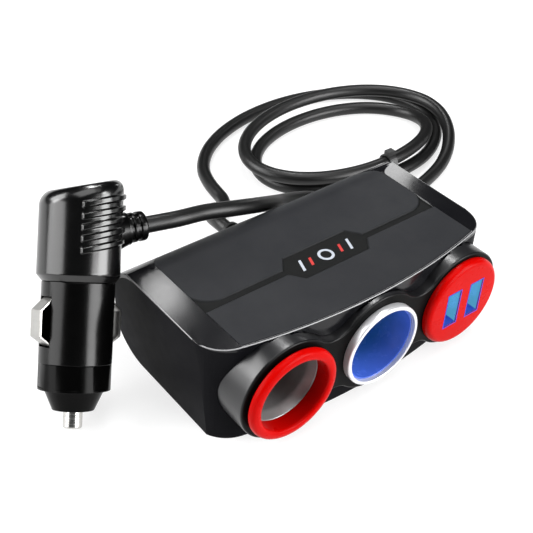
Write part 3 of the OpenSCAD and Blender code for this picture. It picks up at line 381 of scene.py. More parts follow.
plugAxis = plugTurn.to_euler()
plugPlace = tuple(np.array(plugSet["tip"]) * mm)
socketTurn = (math.radians(-90), 0, 0)
moulded = {
    "case_black": {
        "colour": (0.004, 0.004, 0.005), "colour2": (0.006, 0.006, 0.007), "rough": (0.4, 0.46),
        "specular": 0.02, "grain": 1800, "grainStrength": 0.08,
    },
    "ring_red": {
        "colour": (0.42, 0.001, 0.0005), "colour2": (0.38, 0.001, 0.0005), "rough": (0.25, 0.33),
        "specular": 0.04, "grain": 1800, "grainStrength": 0.05,
    },
    "base_black": {
        "colour": (0.012, 0.012, 0.012), "colour2": (0.02, 0.019, 0.018), "rough": (0.5, 0.65),
        "specular": 0.3, "grain": 1400, "grainStrength": 0.4,
    },
    "board_green": {
        "colour": (0.012, 0.075, 0.035), "colour2": (0.02, 0.11, 0.05), "rough": (0.3, 0.45),
        "specular": 0.5, "mottle": 900, "grain": 1200,
    },
    "led_white": {
        "colour": (0.8, 0.88, 0.95), "colour2": (0.9, 0.93, 0.8), "rough": (0.15, 0.3),
        "specular": 0.5, "glow": 0.6, "glowColour": (0.25, 0.4, 1), "mottle": 1500, "grain": 2500,
    },
    "parts_dark": {
        "colour": (0.02, 0.02, 0.035), "colour2": (0.035, 0.035, 0.05), "rough": (0.35, 0.5),
        "specular": 0.4, "grain": 1500,
    },
    "wire_red": {
        "colour": (0.42, 0.02, 0.012), "colour2": (0.34, 0.015, 0.01), "rough": (0.4, 0.5),
        "specular": 0.4, "grain": 1800,
    },
    "wire_black": {
        "colour": (0.010, 0.010, 0.010), "colour2": (0.016, 0.016, 0.016), "rough": (0.35, 0.45),
        "specular": 0.4, "grain": 2200,
    },
    "plug_black": {
        "colour": (0.0006, 0.0006, 0.0006), "colour2": (0.001, 0.001, 0.001), "rough": (0.19, 0.22),
        "specular": 0.62, "grain": 2400, "grainStrength": 0.1,
    },
    "fuse_glass": {
        "colour": (0.75, 0.78, 0.76), "colour2": (0.7, 0.74, 0.72), "rough": (0.05, 0.12),
        "specular": 0.5, "clear": 0.7, "grain": 900,
    },
}
# shadeColour is painted shade: in the panel's recess, and on the bezel's front face
shadeZoneLooks = {
    "panel_grey": {
        "colour": (0.0165, 0.0172, 0.0195), "colour2": (0.021, 0.0218, 0.024), "rough": (0.45, 0.55),
        "specular": 0.1, "grain": 3200, "grainStrength": 0.3, "shadeColour": (0.0065, 0.0068, 0.0068),
        "zoneSpecular": 0.08,
    },
    "bezel_black": {
        "colour": (0.006, 0.006, 0.007), "colour2": (0.009, 0.009, 0.010), "rough": (0.28, 0.34),
        "specular": 0.5, "grain": 2600, "grainStrength": 0.08, "shadeColour": (0.003, 0.003, 0.003),
        "zoneSpecular": 0.03,
    },
}
turnedLooks = {
    "silver_ring": {
        "colour": (0.80, 0.80, 0.82), "colour2": (0.72, 0.72, 0.74), "rough": (0.26, 0.36),
        "metal": 0.55, "centre": (0, 0, 0.0184), "axisTurn": socketTurn,
    },
    "barrel_steel": {
        "colour": (0.27, 0.27, 0.27), "colour2": (0.21, 0.21, 0.21), "rough": (0.32, 0.44),
        "metal": 0.6, "centre": (-0.034, 0, 0.0184), "axisTurn": socketTurn, "rings": 1500,
    },
    "contact_brass": {
        "colour": (0.70, 0.52, 0.22), "colour2": (0.6, 0.42, 0.16), "rough": (0.22, 0.4), "metal": 1,
        "centre": (-0.034, 0, 0.0184), "axisTurn": socketTurn,
    },
    "spring_steel": {
        "colour": (0.55, 0.55, 0.57), "colour2": (0.45, 0.45, 0.47), "rough": (0.25, 0.4), "metal": 1,
        "centre": (-0.034, 0, 0.0184), "axisTurn": socketTurn, "rings": 900, "ringStrength": 0.8,
        "ringDepth": 0.0002,
    },
    "screw_steel": {
        "colour": (0.25, 0.25, 0.26), "colour2": (0.18, 0.18, 0.19), "rough": (0.3, 0.45), "metal": 1,
        "centre": (0, 0, 0), "axisTurn": (0, 0, 0),
    },
    "contact_nickel": {
        "colour": (0.60, 0.59, 0.57), "colour2": (0.50, 0.49, 0.47), "rough": (0.28, 0.42),
        "metal": 0.8, "centre": plugPlace, "axisTurn": tuple(plugAxis), "rings": 1800,
        "ringStrength": 0.12,
    },
}
litLooks = {
    "glow_blue": {
        "colour": (0.03, 0.08, 0.40), "colour2": (0.04, 0.10, 0.48), "rough": (0.2, 0.3), "axis": "Y",
        "from": -0.0315, "to": -0.021, "glowLow": (0.08, 0.15, 0.62), "glowHigh": (0.01, 0.11, 0.26),
        "glow": 0.22, "specular": 0.5,
    },
    # USB steel: its blue colour and its glow are painted LED light, the brighter glow on walls that face -X
    # too
    "usb_steel": {
        "colour": (0.05, 0.10, 0.30), "colour2": (0.03, 0.07, 0.24), "rough": (0.25, 0.35),
        "metal": 0.6, "axis": "Z", "from": 0.0130, "to": 0.0238, "glowLow": (0.02, 0.03, 0.40),
        "glowHigh": (0.01, 0.18, 0.42), "paintedLightFacing": (0.12, 0.50, 0.62),
        "facingRange": (-0.9, -0.6), "glow": 0.6,
    },
    # USB tongue: its glow, bluer below and paler above, is painted LED light
    "usb_tongue": {
        "colour": (0.35, 0.55, 0.75), "colour2": (0.30, 0.50, 0.70), "rough": (0.35, 0.45),
        "axis": "Z", "from": 0.0130, "to": 0.0238, "glowLow": (0.05, 0.12, 0.80),
        "glowHigh": (0.30, 0.72, 0.80), "glow": 0.55, "specular": 0.4,
    },
}
jackets = {
    "cord_black": {
        "colour": (0.003, 0.003, 0.003), "colour2": (0.005, 0.005, 0.005), "rough": (0.34, 0.42),
        "specular": 0.36, "stretch": (40, 900, 1), "grainStrength": 0.2, "grainDepth": 0.00005,
    },
}
finishes = {}
finishes.update({name: mouldedFinish(name, look) for name, look in moulded.items()})
finishes.update({name: shadeZoneFinish(name, look) for name, look in shadeZoneLooks.items()})
finishes.update({name: turnedFinish(name, look) for name, look in turnedLooks.items()})
finishes.update({name: litFinish(name, look) for name, look in litLooks.items()})
finishes.update({name: jacketFinish(name, look) for name, look in jackets.items()})
barrelFinish = mouldedFinish("plug_barrel_moulded", {
    **moulded["plug_black"], "specular": 0.24, "rough": (0.2, 0.24),
})
capFinish = mouldedFinish("plug_cap_moulded", {
    **moulded["plug_black"], "specular": 0.07, "rough": (0.22, 0.26),
})
coverFinish = mouldedFinish("cover_gloss", {
    **moulded["case_black"], "specular": 0.25, "rough": (0.15, 0.18), "grainStrength": 0.05,
})
printGrey = mouldedFinish("print_grey", {
    "colour": (0.42, 0.45, 0.50), "colour2": (0.36, 0.39, 0.44), "rough": (0.4, 0.5), "specular": 0.3,
    "grain": 3000,
})
printRed = mouldedFinish("print_red", {
    "colour": (0.50, 0.03, 0.02), "colour2": (0.42, 0.02, 0.02), "rough": (0.4, 0.5), "specular": 0.3,
    "grain": 3000,
})
# Light grey for the cover's rounded top edge: a painted highlight
edgeHighlightPaint = mouldedFinish("cover_edge_painted_highlight", {
    "colour": (0.26, 0.26, 0.265), "colour2": (0.22, 0.22, 0.225), "rough": (0.25, 0.32),
    "specular": 0.5, "grain": 2600,
})
# Blue glow on the frames round the USB openings: painted LED light
frameGlowPaint = mouldedFinish("usb_frame_painted_glow", {
    "colour": (0.02, 0.02, 0.30), "colour2": (0.03, 0.03, 0.34), "rough": (0.3, 0.4), "specular": 0.2,
    "glow": 0.12, "glowColour": (0.1, 0.1, 1), "grain": 3000,
})
# The leaves' nickel is a darker copy of contact_nickel: painted shade
leafShadedNickel = turnedFinish("leaf_nickel_shaded", {
    **turnedLooks["contact_nickel"], "colour": (0.42, 0.415, 0.40), "colour2": (0.34, 0.335, 0.32),
    "metal": 0.9,
})
glandFinish = mouldedFinish("cord_black_moulded", {
    "colour": (0.009, 0.009, 0.009), "colour2": (0.014, 0.014, 0.014), "rough": (0.35, 0.45),
    "specular": 0.5,
})
for entry in frame["record"]["subparts"]:
    data = nodes[entry["node"]].data
    data.materials.clear()
    loose = entry["node"] in ("cord_gland", "cable_tie")
    data.materials.append(glandFinish if loose else finishes[entry["material_slot"]])
print("finishes made")

# Cord: the coil widens and narrows as ellipses whose size changes with the turn
cordSet = {
    "diameter": 5.2,
    "exit": (0, 33.2, 14),
    "turns": 65 / 24,
    "perTurn": 24,
    "stub": 0.005,  # of a turn, to measure the way at the coil's ends
    "drawIn": 1.25,
    "openFrom": 1.6,
    "centre": (86, 85.6),
    "innerHalf": (41.2, 26.3),
    "outerMore": (21.3, 15),
    "openMore": (12, 11),
    "shift": 2.5,
    "slide": (2, 6.8, 0.2, 0.55),
    "back": (3, 1.5, 0.45),
    "climb": (6, 1.42, 0.3, 2.5, 0.2),
    "tieRise": (1, 0.75, 0.1),
    "sides": 24,
    "perSpan": 5,
}


def easeIn(s):
    s = np.clip(s, 0, 1)
    return s * s * (3 - 2 * s)


def coilAt(t):
    look = cordSet
    u = np.maximum(0, 1 - t / look["drawIn"])
    v = np.maximum(0, t - look["openFrom"])
    a = look["innerHalf"][0] + look["outerMore"][0] * u**2 + look["openMore"][0] * v**2
    b = look["innerHalf"][1] + look["outerMore"][1] * u**2 + look["openMore"][1] * v**2
    rise, up, upRun, down, downRun = look["climb"]
    tieHigh, tieAt, tieRun = look["tieRise"]
    z = look["diameter"] / 2 + rise * easeIn((t - up) / upRun) * (1 - easeIn((t - down) / downRun))
    z = z + tieHigh * easeIn(1 - abs(t - tieAt) / tieRun)
    slideX, slideY, slideFrom, slideRun = look["slide"]
    back, backFrom, backRun = look["back"]
    slide = easeIn((t - slideFrom) / slideRun)
    x = look["centre"][0] - slideX * slide - back * easeIn((t - backFrom) / backRun)
    x = x - look["shift"] * u**4 - a * np.cos(2 * np.pi * t)
    return np.stack([x, look["centre"][1] - slideY * slide + b * np.sin(2 * np.pi * t), z], -1)


# A smooth path: a cubic through all points whose slope at each is weighted by its two chords
def smoothPath(points, perSpan):
    points = np.asarray(points, float)
    chord = np.linalg.norm(np.diff(points, axis=0), axis=1)[:, None]
    rate = np.diff(points, axis=0) / chord
    inner = (rate[1:] * chord[:-1] + rate[:-1] * chord[1:]) / (chord[1:] + chord[:-1])
    slope = np.vstack([rate[:1], inner, rate[-1:]])
    s = np.linspace(0, 1, perSpan, endpoint=False)[None, :, None]
    a, b = points[:-1, None], points[1:, None]
    da, db = (slope[:-1] * chord)[:, None], (slope[1:] * chord)[:, None]
    path = (
        (2 * s**3 - 3 * s**2 + 1) * a + (s**3 - 2 * s**2 + s) * da
        + (3 * s**2 - 2 * s**3) * b + (s**3 - s**2) * db
    )
    return np.vstack([path.reshape(-1, 3), points[-1:]])


# A tube: rings square to the path, each held upright against the world's Z
def tubeAlong(path, radius, sides):
    way = np.gradient(path, axis=0)
    way /= np.linalg.norm(way, axis=1, keepdims=True)
    across = np.cross(way, [0, 0, 1])
    across /= np.linalg.norm(across, axis=1, keepdims=True)
    up = np.cross(across, way)
    angle = np.linspace(0, 2 * np.pi, sides + 1)[None, :, None]
    ring = np.cos(angle) * up[:, None] + np.sin(angle) * across[:, None]
    return path[:, None] + radius * ring


def cordRoute():
    d = cordSet["diameter"]
    t = np.arange(round(cordSet["turns"] * cordSet["perTurn"]) + 1) / cordSet["perTurn"]
    coil = coilAt(t)
    first = coilAt(np.array([0, cordSet["stub"]]))
    last = coilAt(cordSet["turns"] - np.array([cordSet["stub"], 0]))
    startWay = (first[1] - first[0]) / np.linalg.norm(first[1] - first[0])
    endWay = (last[1] - last[0]) / np.linalg.norm(last[1] - last[0])
    neckEnd = onNeck(np.array([[0, 0, neckSet["end"]]]))[0]
    neckWay = onNeck(np.array([[0, 0, neckSet["end"] + 1]]))[0] - neckEnd
    bodyLead = [
        cordSet["exit"], (0, 39.2, 14), (0, 45.2, 14), (0, 50.4, 14), (1.7, 57.2, 11.8), (4.2, 60.9, 9.3),
        (8.6, 64.5, 5.5), (13.5, 67.5, 3.6), coil[0] - 2 * d * startWay, coil[0] - d * startWay,
    ]
    plugLead = [
        coil[-1] + d * endWay, coil[-1] + 2 * d * endWay, (75.8, 37, 3.1), (64, 40.1, 4.3), (54.7, 42.5, 7.5),
        (44, 43, 11), (34, 42, 16.2), (25.4, 40.5, 20), (16, 37.4, 24.4), (8.5, 33.9, 28.7),
        (-3.2, 30, 34.4), (-12, 29.2, 37.3), (-20.9, 29.9, 39.2),
        neckEnd + 2 * d * neckWay, neckEnd + d * neckWay, neckEnd,
    ]
    return smoothPath(np.vstack([bodyLead, coil, plugLead]), cordSet["perSpan"])


cordPath = cordRoute()
cordTube = tubeAlong(cordPath, cordSet["diameter"] / 2, cordSet["sides"])
cordStart, cordStop = (end[:, None].repeat(cordSet["sides"] + 1, 1) for end in (cordPath[:1], cordPath[-1:]))
cordGrid = np.concatenate([cordStart, cordTube, cordStop])
cord = gridPiece(
    "cord_jacket", [cordGrid], "cord_black", keepUv=True, sharpAngle=60,
    stands=("cord_body_lead", "cord_coil", "cord_plug_lead"),
)
print("cord laid, metres:", round(float(np.linalg.norm(np.diff(cordPath, axis=0), axis=1).sum()) * mm, 3))


# A copy of a node with its doubles merged, its flat faces joined and its edges rounded
roundSet = {"segments": 3, "fromAngle": 30, "flatWithin": 0.5, "sharpAngle": 35}


def roundedNode(node, slotName, width, body="root", finish=None):
    look = roundSet
    mesh = nodes[node].data.copy()
    work = bmesh.new()
    work.from_mesh(mesh)
    bmesh.ops.remove_doubles(work, verts=work.verts, dist=mergeWithin)
    flat = math.radians(look["flatWithin"])
    bmesh.ops.dissolve_limit(work, angle_limit=flat, verts=work.verts, edges=work.edges)
    work.to_mesh(mesh)
    work.free()
    smoothMesh(mesh, look["sharpAngle"])
    piece = addPiece(node + "_rounded", mesh, slotName, body, (node,), finish)
    bevel = piece.modifiers.new("edges", "BEVEL")
    bevel.width = width * mm
    bevel.segments = look["segments"]
    bevel.limit_method = "ANGLE"
    bevel.angle_limit = math.radians(look["fromAngle"])
    return piece


roundedNode("lower_case", "case_black", width=0.4)
roundedNode("usb_faceplate", "ring_red", width=0.2)

# The case's front edge is an arc about a point far behind it
caseArc = {"centre": 179.4, "radius": 207, "panelRadius": 206.05}


def frontAt(x, radius):
    return caseArc["centre"] - np.sqrt(radius**2 - x**2)


# Of the cover only the outer top edge is rounded, and it is painted light grey as a painted highlight that
# shows
# as a fine line: there an upright face meets one that looks up, near the front arc or at the sides
coverSet = {
    "arcNear": 1,
    "sideFrom": 47,
    "upright": 0.2,
    "lookingUp": 0.4,
    "round": 0.25,
    "areaWeight": 100,
}


def onPaintedHighlightEdge(edge, look):
    middle = (edge.verts[0].co + edge.verts[1].co) / 2 / mm
    tilts = sorted((face.normal.z for face in edge.link_faces), key=abs)
    front = frontAt(middle.x, caseArc["radius"])
    outside = abs(middle.x) > look["sideFrom"] or middle.y < front + look["arcNear"]
    return outside and len(tilts) == 2 and abs(tilts[0]) < look["upright"] and tilts[1] > look["lookingUp"]


def dressCover(look):
    cover = roundedNode("top_cover", "case_black", look["round"], finish=coverFinish)
    cover.data.materials.append(edgeHighlightPaint)
    work = bmesh.new()
    work.from_mesh(cover.data)
    weight = work.edges.layers.float.new("bevel_weight_edge")
    for edge in work.edges:
        edge[weight] = float(onPaintedHighlightEdge(edge, look))
    work.to_mesh(cover.data)
    work.free()
    bevel = cover.modifiers["edges"]
    bevel.limit_method = "WEIGHT"
    bevel.use_clamp_overlap = False
    bevel.harden_normals = True
    # The rounded edge faces take the painted highlight
    bevel.material = 1
    evened = cover.modifiers.new("evened", "WEIGHTED_NORMAL")
    evened.keep_sharp = True
    evened.weight = look["areaWeight"]


dressCover(coverSet)

# A fine blue frame round each USB opening: a glowing sheet of painted LED light on the steel rims
usbSet = {"middles": (29.07, 38.93), "face": -32.53, "half": (2.7, 6.4), "line": 0.4}


def usbFrame(x, look):
    side = np.array([-1, 1, 1, -1, -1])
    rise = np.array([-1, -1, 1, 1, -1])
    grow = np.array([0, 0.5, 1])[:, None] * look["line"]
    halfX, halfZ = look["half"]
    across, up = x + side * (halfX + grow), socketHeight + rise * (halfZ + grow)
    return np.stack([across, look["face"] + 0 * across, up], -1)


gridPiece("usb_frames_painted_glow", [usbFrame(x, usbSet) for x in usbSet["middles"]], "usb_steel", finish=frameGlowPaint)
print("case dressed")

# Top panel: columns across, rows from its front arc to its rear edge; behind the flat part
# a row's length along the roll turns it about the roll's axis
panelSet = {
    "half": 45.15,
    "rear": 26.85,
    "cornerRadius": 7.85,
    "top": 35.4,
    "rollRadius": 16,
    "rollStart": 17.2,
    "valleyMiddle": -4.1,
    "valleyHalf": 1.5,
    "fieldCorner": 8,
    "badgeHalf": 17,
    "badgeEdge": 12.5,
    "badgeDeep": 6,
    "depth": 0.5,
    "ramp": 0.55,
    "fieldMore": 0.15,
    "thick": 0.9,
    "edge": 0.12,
    "edgeSegments": 2,
    "edgeFrom": 60,
    "columns": (8, 44, 12, 46),
    "rows": (12, 150, 40),
    "dense": (-7, 10.5),
    "margin": 1,
}


# Distance outside the nearer of the two fields, or inside the badge: the recess deepens over the ramp
def recessDepth(x, y, look):
    side, along = abs(x), y - look["valleyMiddle"]
    front = along + look["valleyHalf"]
    corner = look["fieldCorner"]
    qx = side - (look["half"] + look["fieldMore"] - corner)
    qy = look["valleyHalf"] + corner - along
    rear = np.hypot(np.maximum(qx, 0), np.maximum(qy, 0)) + np.minimum(np.maximum(qx, qy), 0) - corner
    slope = (look["badgeHalf"] - look["badgeEdge"]) / look["badgeDeep"]
    badge = np.minimum(
        look["badgeDeep"] - abs(along),
        (look["badgeHalf"] - side - slope * abs(along)) / math.hypot(1, slope),
    )
    inside = np.maximum(np.minimum(front, rear), badge)
    return look["depth"] * easeIn(inside / look["ramp"])


def panelGrid(look):
    h, c, m = look["half"], look["cornerRadius"], look["margin"]
    middleCount, badgeCount, sideCount, cornerCount = look["columns"]
    half = np.concatenate([
        np.linspace(0, look["badgeEdge"] - m, middleCount, endpoint=False),
        np.linspace(look["badgeEdge"] - m, look["badgeHalf"] + m, badgeCount, endpoint=False),
        np.linspace(look["badgeHalf"] + m, h - c - m, sideCount, endpoint=False),
        h - c - m + (c + m) * np.sin(np.linspace(0, np.pi / 2, cornerCount)),
    ])
    x = np.concatenate([-half[:0:-1], half])[None, :]
    front = frontAt(x, caseArc["panelRadius"])
    rear = look["rear"] - c + np.sqrt(np.maximum(c**2 - np.maximum(abs(x) - (h - c), 0) ** 2, 0))
    denseLow, denseHigh = (look["valleyMiddle"] + past for past in look["dense"])
    frontCount, denseCount, rearCount = look["rows"]
    y = np.concatenate([
        front + (denseLow - front) * np.linspace(0, 1, frontCount, endpoint=False)[:, None],
        denseLow + (denseHigh - denseLow) * np.linspace(0, 1, denseCount)[:, None] + 0 * x,
        denseHigh + (rear - denseHigh) * np.linspace(0, 1, rearCount)[1:, None],
    ])
    past = np.clip((y - look["rollStart"]) / look["rollRadius"], 0, 1)
    z = look["top"] - look["rollRadius"] * (1 - np.sqrt(1 - past**2)) - recessDepth(x, y, look)
    return np.stack([x + 0 * y, y, z], -1)


panel = gridPiece(
    "centre_panel_inlay", [panelGrid(panelSet)], "panel_grey", stands=("centre_panel",), sharpAngle=60,
)
# The recess is painted darker as it deepens: painted shade
markShadeZone(panel.data, lambda p: recessDepth(p[:, 0], p[:, 1], panelSet) / panelSet["depth"])
shell = panel.modifiers.new("thick", "SOLIDIFY")
shell.thickness = panelSet["thick"] * mm
shell.offset = -1
edges = panel.modifiers.new("edges", "BEVEL")
edges.width = panelSet["edge"] * mm
edges.segments = panelSet["edgeSegments"]
edges.limit_method = "ANGLE"
edges.angle_limit = math.radians(panelSet["edgeFrom"])
print("panel laid")

# Marks printed on the badge: a ring between slanted bars
badgeSet = {
    "height": 34.94,
    "middle": -4.1,
    "ring": (1.75, 2.65),
    "bars": ((-9.4, 4.8), (9.4, 4.8)),
    "redBars": ((-5.8, 3.4), (5.8, 3.4)),
    "width": 0.95,
    "slant": 0.35,
    "barRows": 5,
    "barColumns": 3,
    "ringRows": 3,
    "ringSteps": 64,
}


def badgeBar(x, length, look):
    t = np.linspace(-0.5, 0.5, look["barRows"])[:, None]
    w = np.linspace(-0.5, 0.5, look["barColumns"])[None, :] * look["width"]
    along = t * length + 0 * w
    return np.stack([x + w + along * look["slant"], look["middle"] + along, look["height"] + 0 * along], -1)


def badgeRing(look):
    a = np.linspace(0, 2 * np.pi, look["ringSteps"] + 1)[None, :]
    r = np.linspace(*look["ring"], look["ringRows"])[:, None]
    return np.stack([r * np.cos(a), look["middle"] + r * np.sin(a), look["height"] + 0 * r * a], -1)


greyMarks = [badgeRing(badgeSet)] + [badgeBar(*bar, badgeSet) for bar in badgeSet["bars"]]
redMarks = [badgeBar(*bar, badgeSet) for bar in badgeSet["redBars"]]
gridPiece("badge_marks_grey", greyMarks, "panel_grey", finish=printGrey)
gridPiece("badge_marks_red", redMarks, "panel_grey", finish=printRed)

# Bezel: the outline of three bosses and the hollows between them, drawn in round its front edge
bezelSet = {
    "radius": 16.8,
    "hollow": 8,
    "pitch": 34,
    "front": -29.8,
    "rear": -16,
    "round": 0.6,
    "roundRows": 10,
    "bore": 13.2,
    "coverAt": 32.6,
    "cornerPlace": (41.9, -11.05),
    "cornerRadius": 12,
    "cornerReach": 11,
    "wallThick": 0.4,
    "endColumns": 120,
    "hollowColumns": 30,
    "middleColumns": 40,
    "wallRows": 12,
    "boreEdge": 0.2,
    "boreColumns": 160,
}


def arcPoints(x, z, r, start, end, count):
    a = np.radians(start + (end - start) * np.arange(count) / count)
    return np.stack([x + r * np.cos(a), z + r * np.sin(a)], -1)


def bossOutline(grow, look):
    pitch, r, h = look["pitch"], look["radius"] + grow, look["hollow"] - grow
    rise = math.sqrt((look["radius"] + look["hollow"]) ** 2 - pitch**2 / 4)
    touch = math.degrees(math.atan2(rise, pitch / 2))
    endCount, hollowCount, middleCount = (look[part + "Columns"] for part in ("end", "hollow", "middle"))
    arcs = [
        arcPoints(pitch, 0, r, touch - 180, 180 - touch, endCount),
        arcPoints(pitch / 2, rise, h, -touch, touch - 180, hollowCount),
        arcPoints(0, 0, r, touch, 180 - touch, middleCount),
        arcPoints(-pitch / 2, rise, h, -touch, touch - 180, hollowCount),
        arcPoints(-pitch, 0, r, touch, 360 - touch, endCount),
        arcPoints(-pitch / 2, -rise, h, 180 - touch, touch, hollowCount),
        arcPoints(0, 0, r, 180 + touch, 360 - touch, middleCount),
        arcPoints(pitch / 2, -rise, h, 180 - touch, touch, hollowCount),
    ]
    outline = np.concatenate(arcs)
    return np.vstack([outline, outline[:1]])


def bezelWall(look):
    a = np.linspace(0, np.pi / 2, look["roundRows"])
    grow = np.concatenate([-look["round"] * (1 - np.sin(a)), np.zeros(look["wallRows"])])
    depth = np.concatenate([
        look["front"] + look["round"] * (1 - np.cos(a)),
        np.linspace(look["front"] + look["round"], look["rear"], look["wallRows"] + 1)[1:],
    ])
    rows = np.stack([bossOutline(g, look) for g in grow])
    wall = np.stack([rows[..., 0], depth[:, None] + 0 * rows[..., 0], socketHeight + rows[..., 1]], -1)
    side = abs(wall[..., 0])
    cornerX, cornerY = look["cornerPlace"]
    arc = frontAt(side, caseArc["radius"])
    past = np.clip(side - cornerX, 0, look["cornerReach"])
    corner = cornerY - np.sqrt(look["cornerRadius"] ** 2 - past**2)
    behindWall = wall[..., 1] > np.where(side < cornerX, arc, corner) + look["wallThick"]
    wall[..., 2] = np.where(behindWall, np.minimum(wall[..., 2], look["coverAt"]), wall[..., 2])
    return wall


# Flat faces with holes are filled between the open edges that lie in one plane
def fillPlane(mesh, depth):
    work = bmesh.new()
    work.from_mesh(mesh)
    bmesh.ops.remove_doubles(work, verts=work.verts, dist=mergeWithin)
    level = {vert for vert in work.verts if abs(vert.co.y - depth * mm) < mergeWithin / 2}
    rim = [edge for edge in work.edges if edge.is_boundary and level.issuperset(edge.verts)]
    bmesh.ops.triangle_fill(work, edges=rim, use_beauty=True)
    work.to_mesh(mesh)
    work.free()


def boreWall(x, look):
    a = np.linspace(0, 2 * np.pi, look["boreColumns"] + 1)
    r = look["bore"] + np.array([look["boreEdge"], 0, 0])[:, None]
    y = np.array([look["front"], look["front"] + look["boreEdge"], look["rear"]])[:, None]
    return np.stack([x + r * np.cos(a), y + 0 * a, socketHeight + r * np.sin(a)], -1)


bezelBores = [boreWall(i * bezelSet["pitch"], bezelSet) for i in (-1, 0, 1)]
bezelMesh = gridMesh("front_bezel_bosses", [bezelWall(bezelSet)] + bezelBores)
fillPlane(bezelMesh, bezelSet["front"])
fillPlane(bezelMesh, bezelSet["rear"])
cleanMesh(bezelMesh, sharpAngle=40)
# The bezel's front face is painted darker: painted shade
markShadeZone(
    bezelMesh,
    lambda p: np.clip((bezelSet["front"] + bezelSet["round"] - p[:, 1]) / bezelSet["round"], 0, 1),
)
addPiece("front_bezel_bosses", bezelMesh, "bezel_black", stands=("front_bezel",))
print("bezel made")

# Rings, light ring and barrels: profiles of radius and distance from the ring's face
ringLooks = {
    "left_trim_ring": {
        "place": (-34, -33.2), "slot": "ring_red",
        "corners": [
            (12, 0), (15.35, 0), (15.35, 2.5), (13.1, 2.5),
            (13.1, 13.2), (12.45, 13.2), (12.45, 5.4), (12, 5.4),
        ],
        "cuts": [1.2, 1.9, 0.55, 0.3, 0.2, 0.2, 0.1, 0.2],
    },
    "middle_trim_ring": {
        "place": (0, -32.5), "slot": "silver_ring",
        "corners": [(12.65, 0), (13.9, 0), (13.9, 2.7), (13.1, 2.7), (13.1, 8.5), (12.65, 8.5)],
        "cuts": [0.35, 0.7, 0.3, 0.05, 0.15, 0.15],
    },
    "middle_glow_liner": {
        "place": (0, -31), "slot": "glow_blue",
        "corners": [(12.1, 0), (12.6, 0), (12.6, 13), (12.1, 13)],
        "cuts": 0.15,
    },
    "left_socket_barrel": {
        "place": (-34, -27.75), "slot": "barrel_steel",
        "corners": [
            (11.9, 0), (12.4, 0), (12.4, 41.75), (10.2, 41.75),
            (10.2, 33.75), (10.7, 33.75), (10.7, 3),
        ],
        "cuts": [0.2, 0.2, 0.2, 0.2, 0.15, 0.15, 0.8],
    },
    "middle_socket_barrel": {
        "place": (0, -17.95), "slot": "barrel_steel",
        "corners": [
            (11.9, 0), (12.4, 0), (12.4, 31.95), (10.2, 31.95),
            (10.2, 23.95), (10.7, 23.95), (10.7, 1),
        ],
        "cuts": [0.2, 0.2, 0.2, 0.2, 0.15, 0.15, 0.5],
    },
}
for node, look in ringLooks.items():
    profile = softened(look["corners"], look["cuts"])
    ring = onSocket(turned(profile, turnSteps["ring"]), *look["place"])
    gridPiece(node + "_turned", [ring], look["slot"], stands=(node,))
print("rings and barrels turned")

# Plug: the barrel, nose cap and leaves are rounded copies of their nodes
plugEdges = {
    "plug_barrel": ("plug_black", 0.3, "root", barrelFinish),
    "plug_nose_cap": ("plug_black", 0.25, "nose_cap", capFinish),
    "side_contact_left": ("contact_nickel", 0.2, "left_leaf", leafShadedNickel),
    "side_contact_right": ("contact_nickel", 0.2, "right_leaf", leafShadedNickel),
}
for node, (slotName, width, body, finish) in plugEdges.items():
    roundedNode(node, slotName, width, body, finish=finish)

# Head: loops about the plug's axis; the top leans with the neck, and ribs stand out of its flanks
headSet = {
    "radius": 12.1,
    "cornerRadius": 10.2,
    "cornerPlace": (1.0, 1.9),
    "reach": 11.2,
    "taper": (42.15, 10.5),
    "bottom": 44.05,
    "top": 70.05,
    "bevel": (3.2, 3.8),
    "ribs": 5,
    "ribDrop": 5.5,
    "ribPitch": 3.17,
    "ribHalf": 0.8,
    "ribOut": 0.8,
    "ribEdge": 0.22,
    "ribBack": -3.6,
    "neckClear": 6.2,
    "faceStart": (1, 0.6),
    "ribFade": 0.3,
    "innerShare": 0.6,
    "columns": 240,
    "bevelRows": 14,
    "ribRows": 110,
    "skirtRows": 8,
}


# Outline by the direction of its normal: a centre plus a radius, the centre apart at the corners
def headOutline(grow, look):
    a = np.linspace(-np.pi, np.pi, look["columns"] + 1)
    frontSide = abs(a) < np.pi / 2
    radius = np.where(frontSide, look["cornerRadius"], look["radius"]) + grow
    x = np.where(frontSide, look["cornerPlace"][0], 0) + radius * np.cos(a)
    y = np.where(frontSide, np.sign(a) * look["cornerPlace"][1], 0) + radius * np.sin(a)
    return x, y


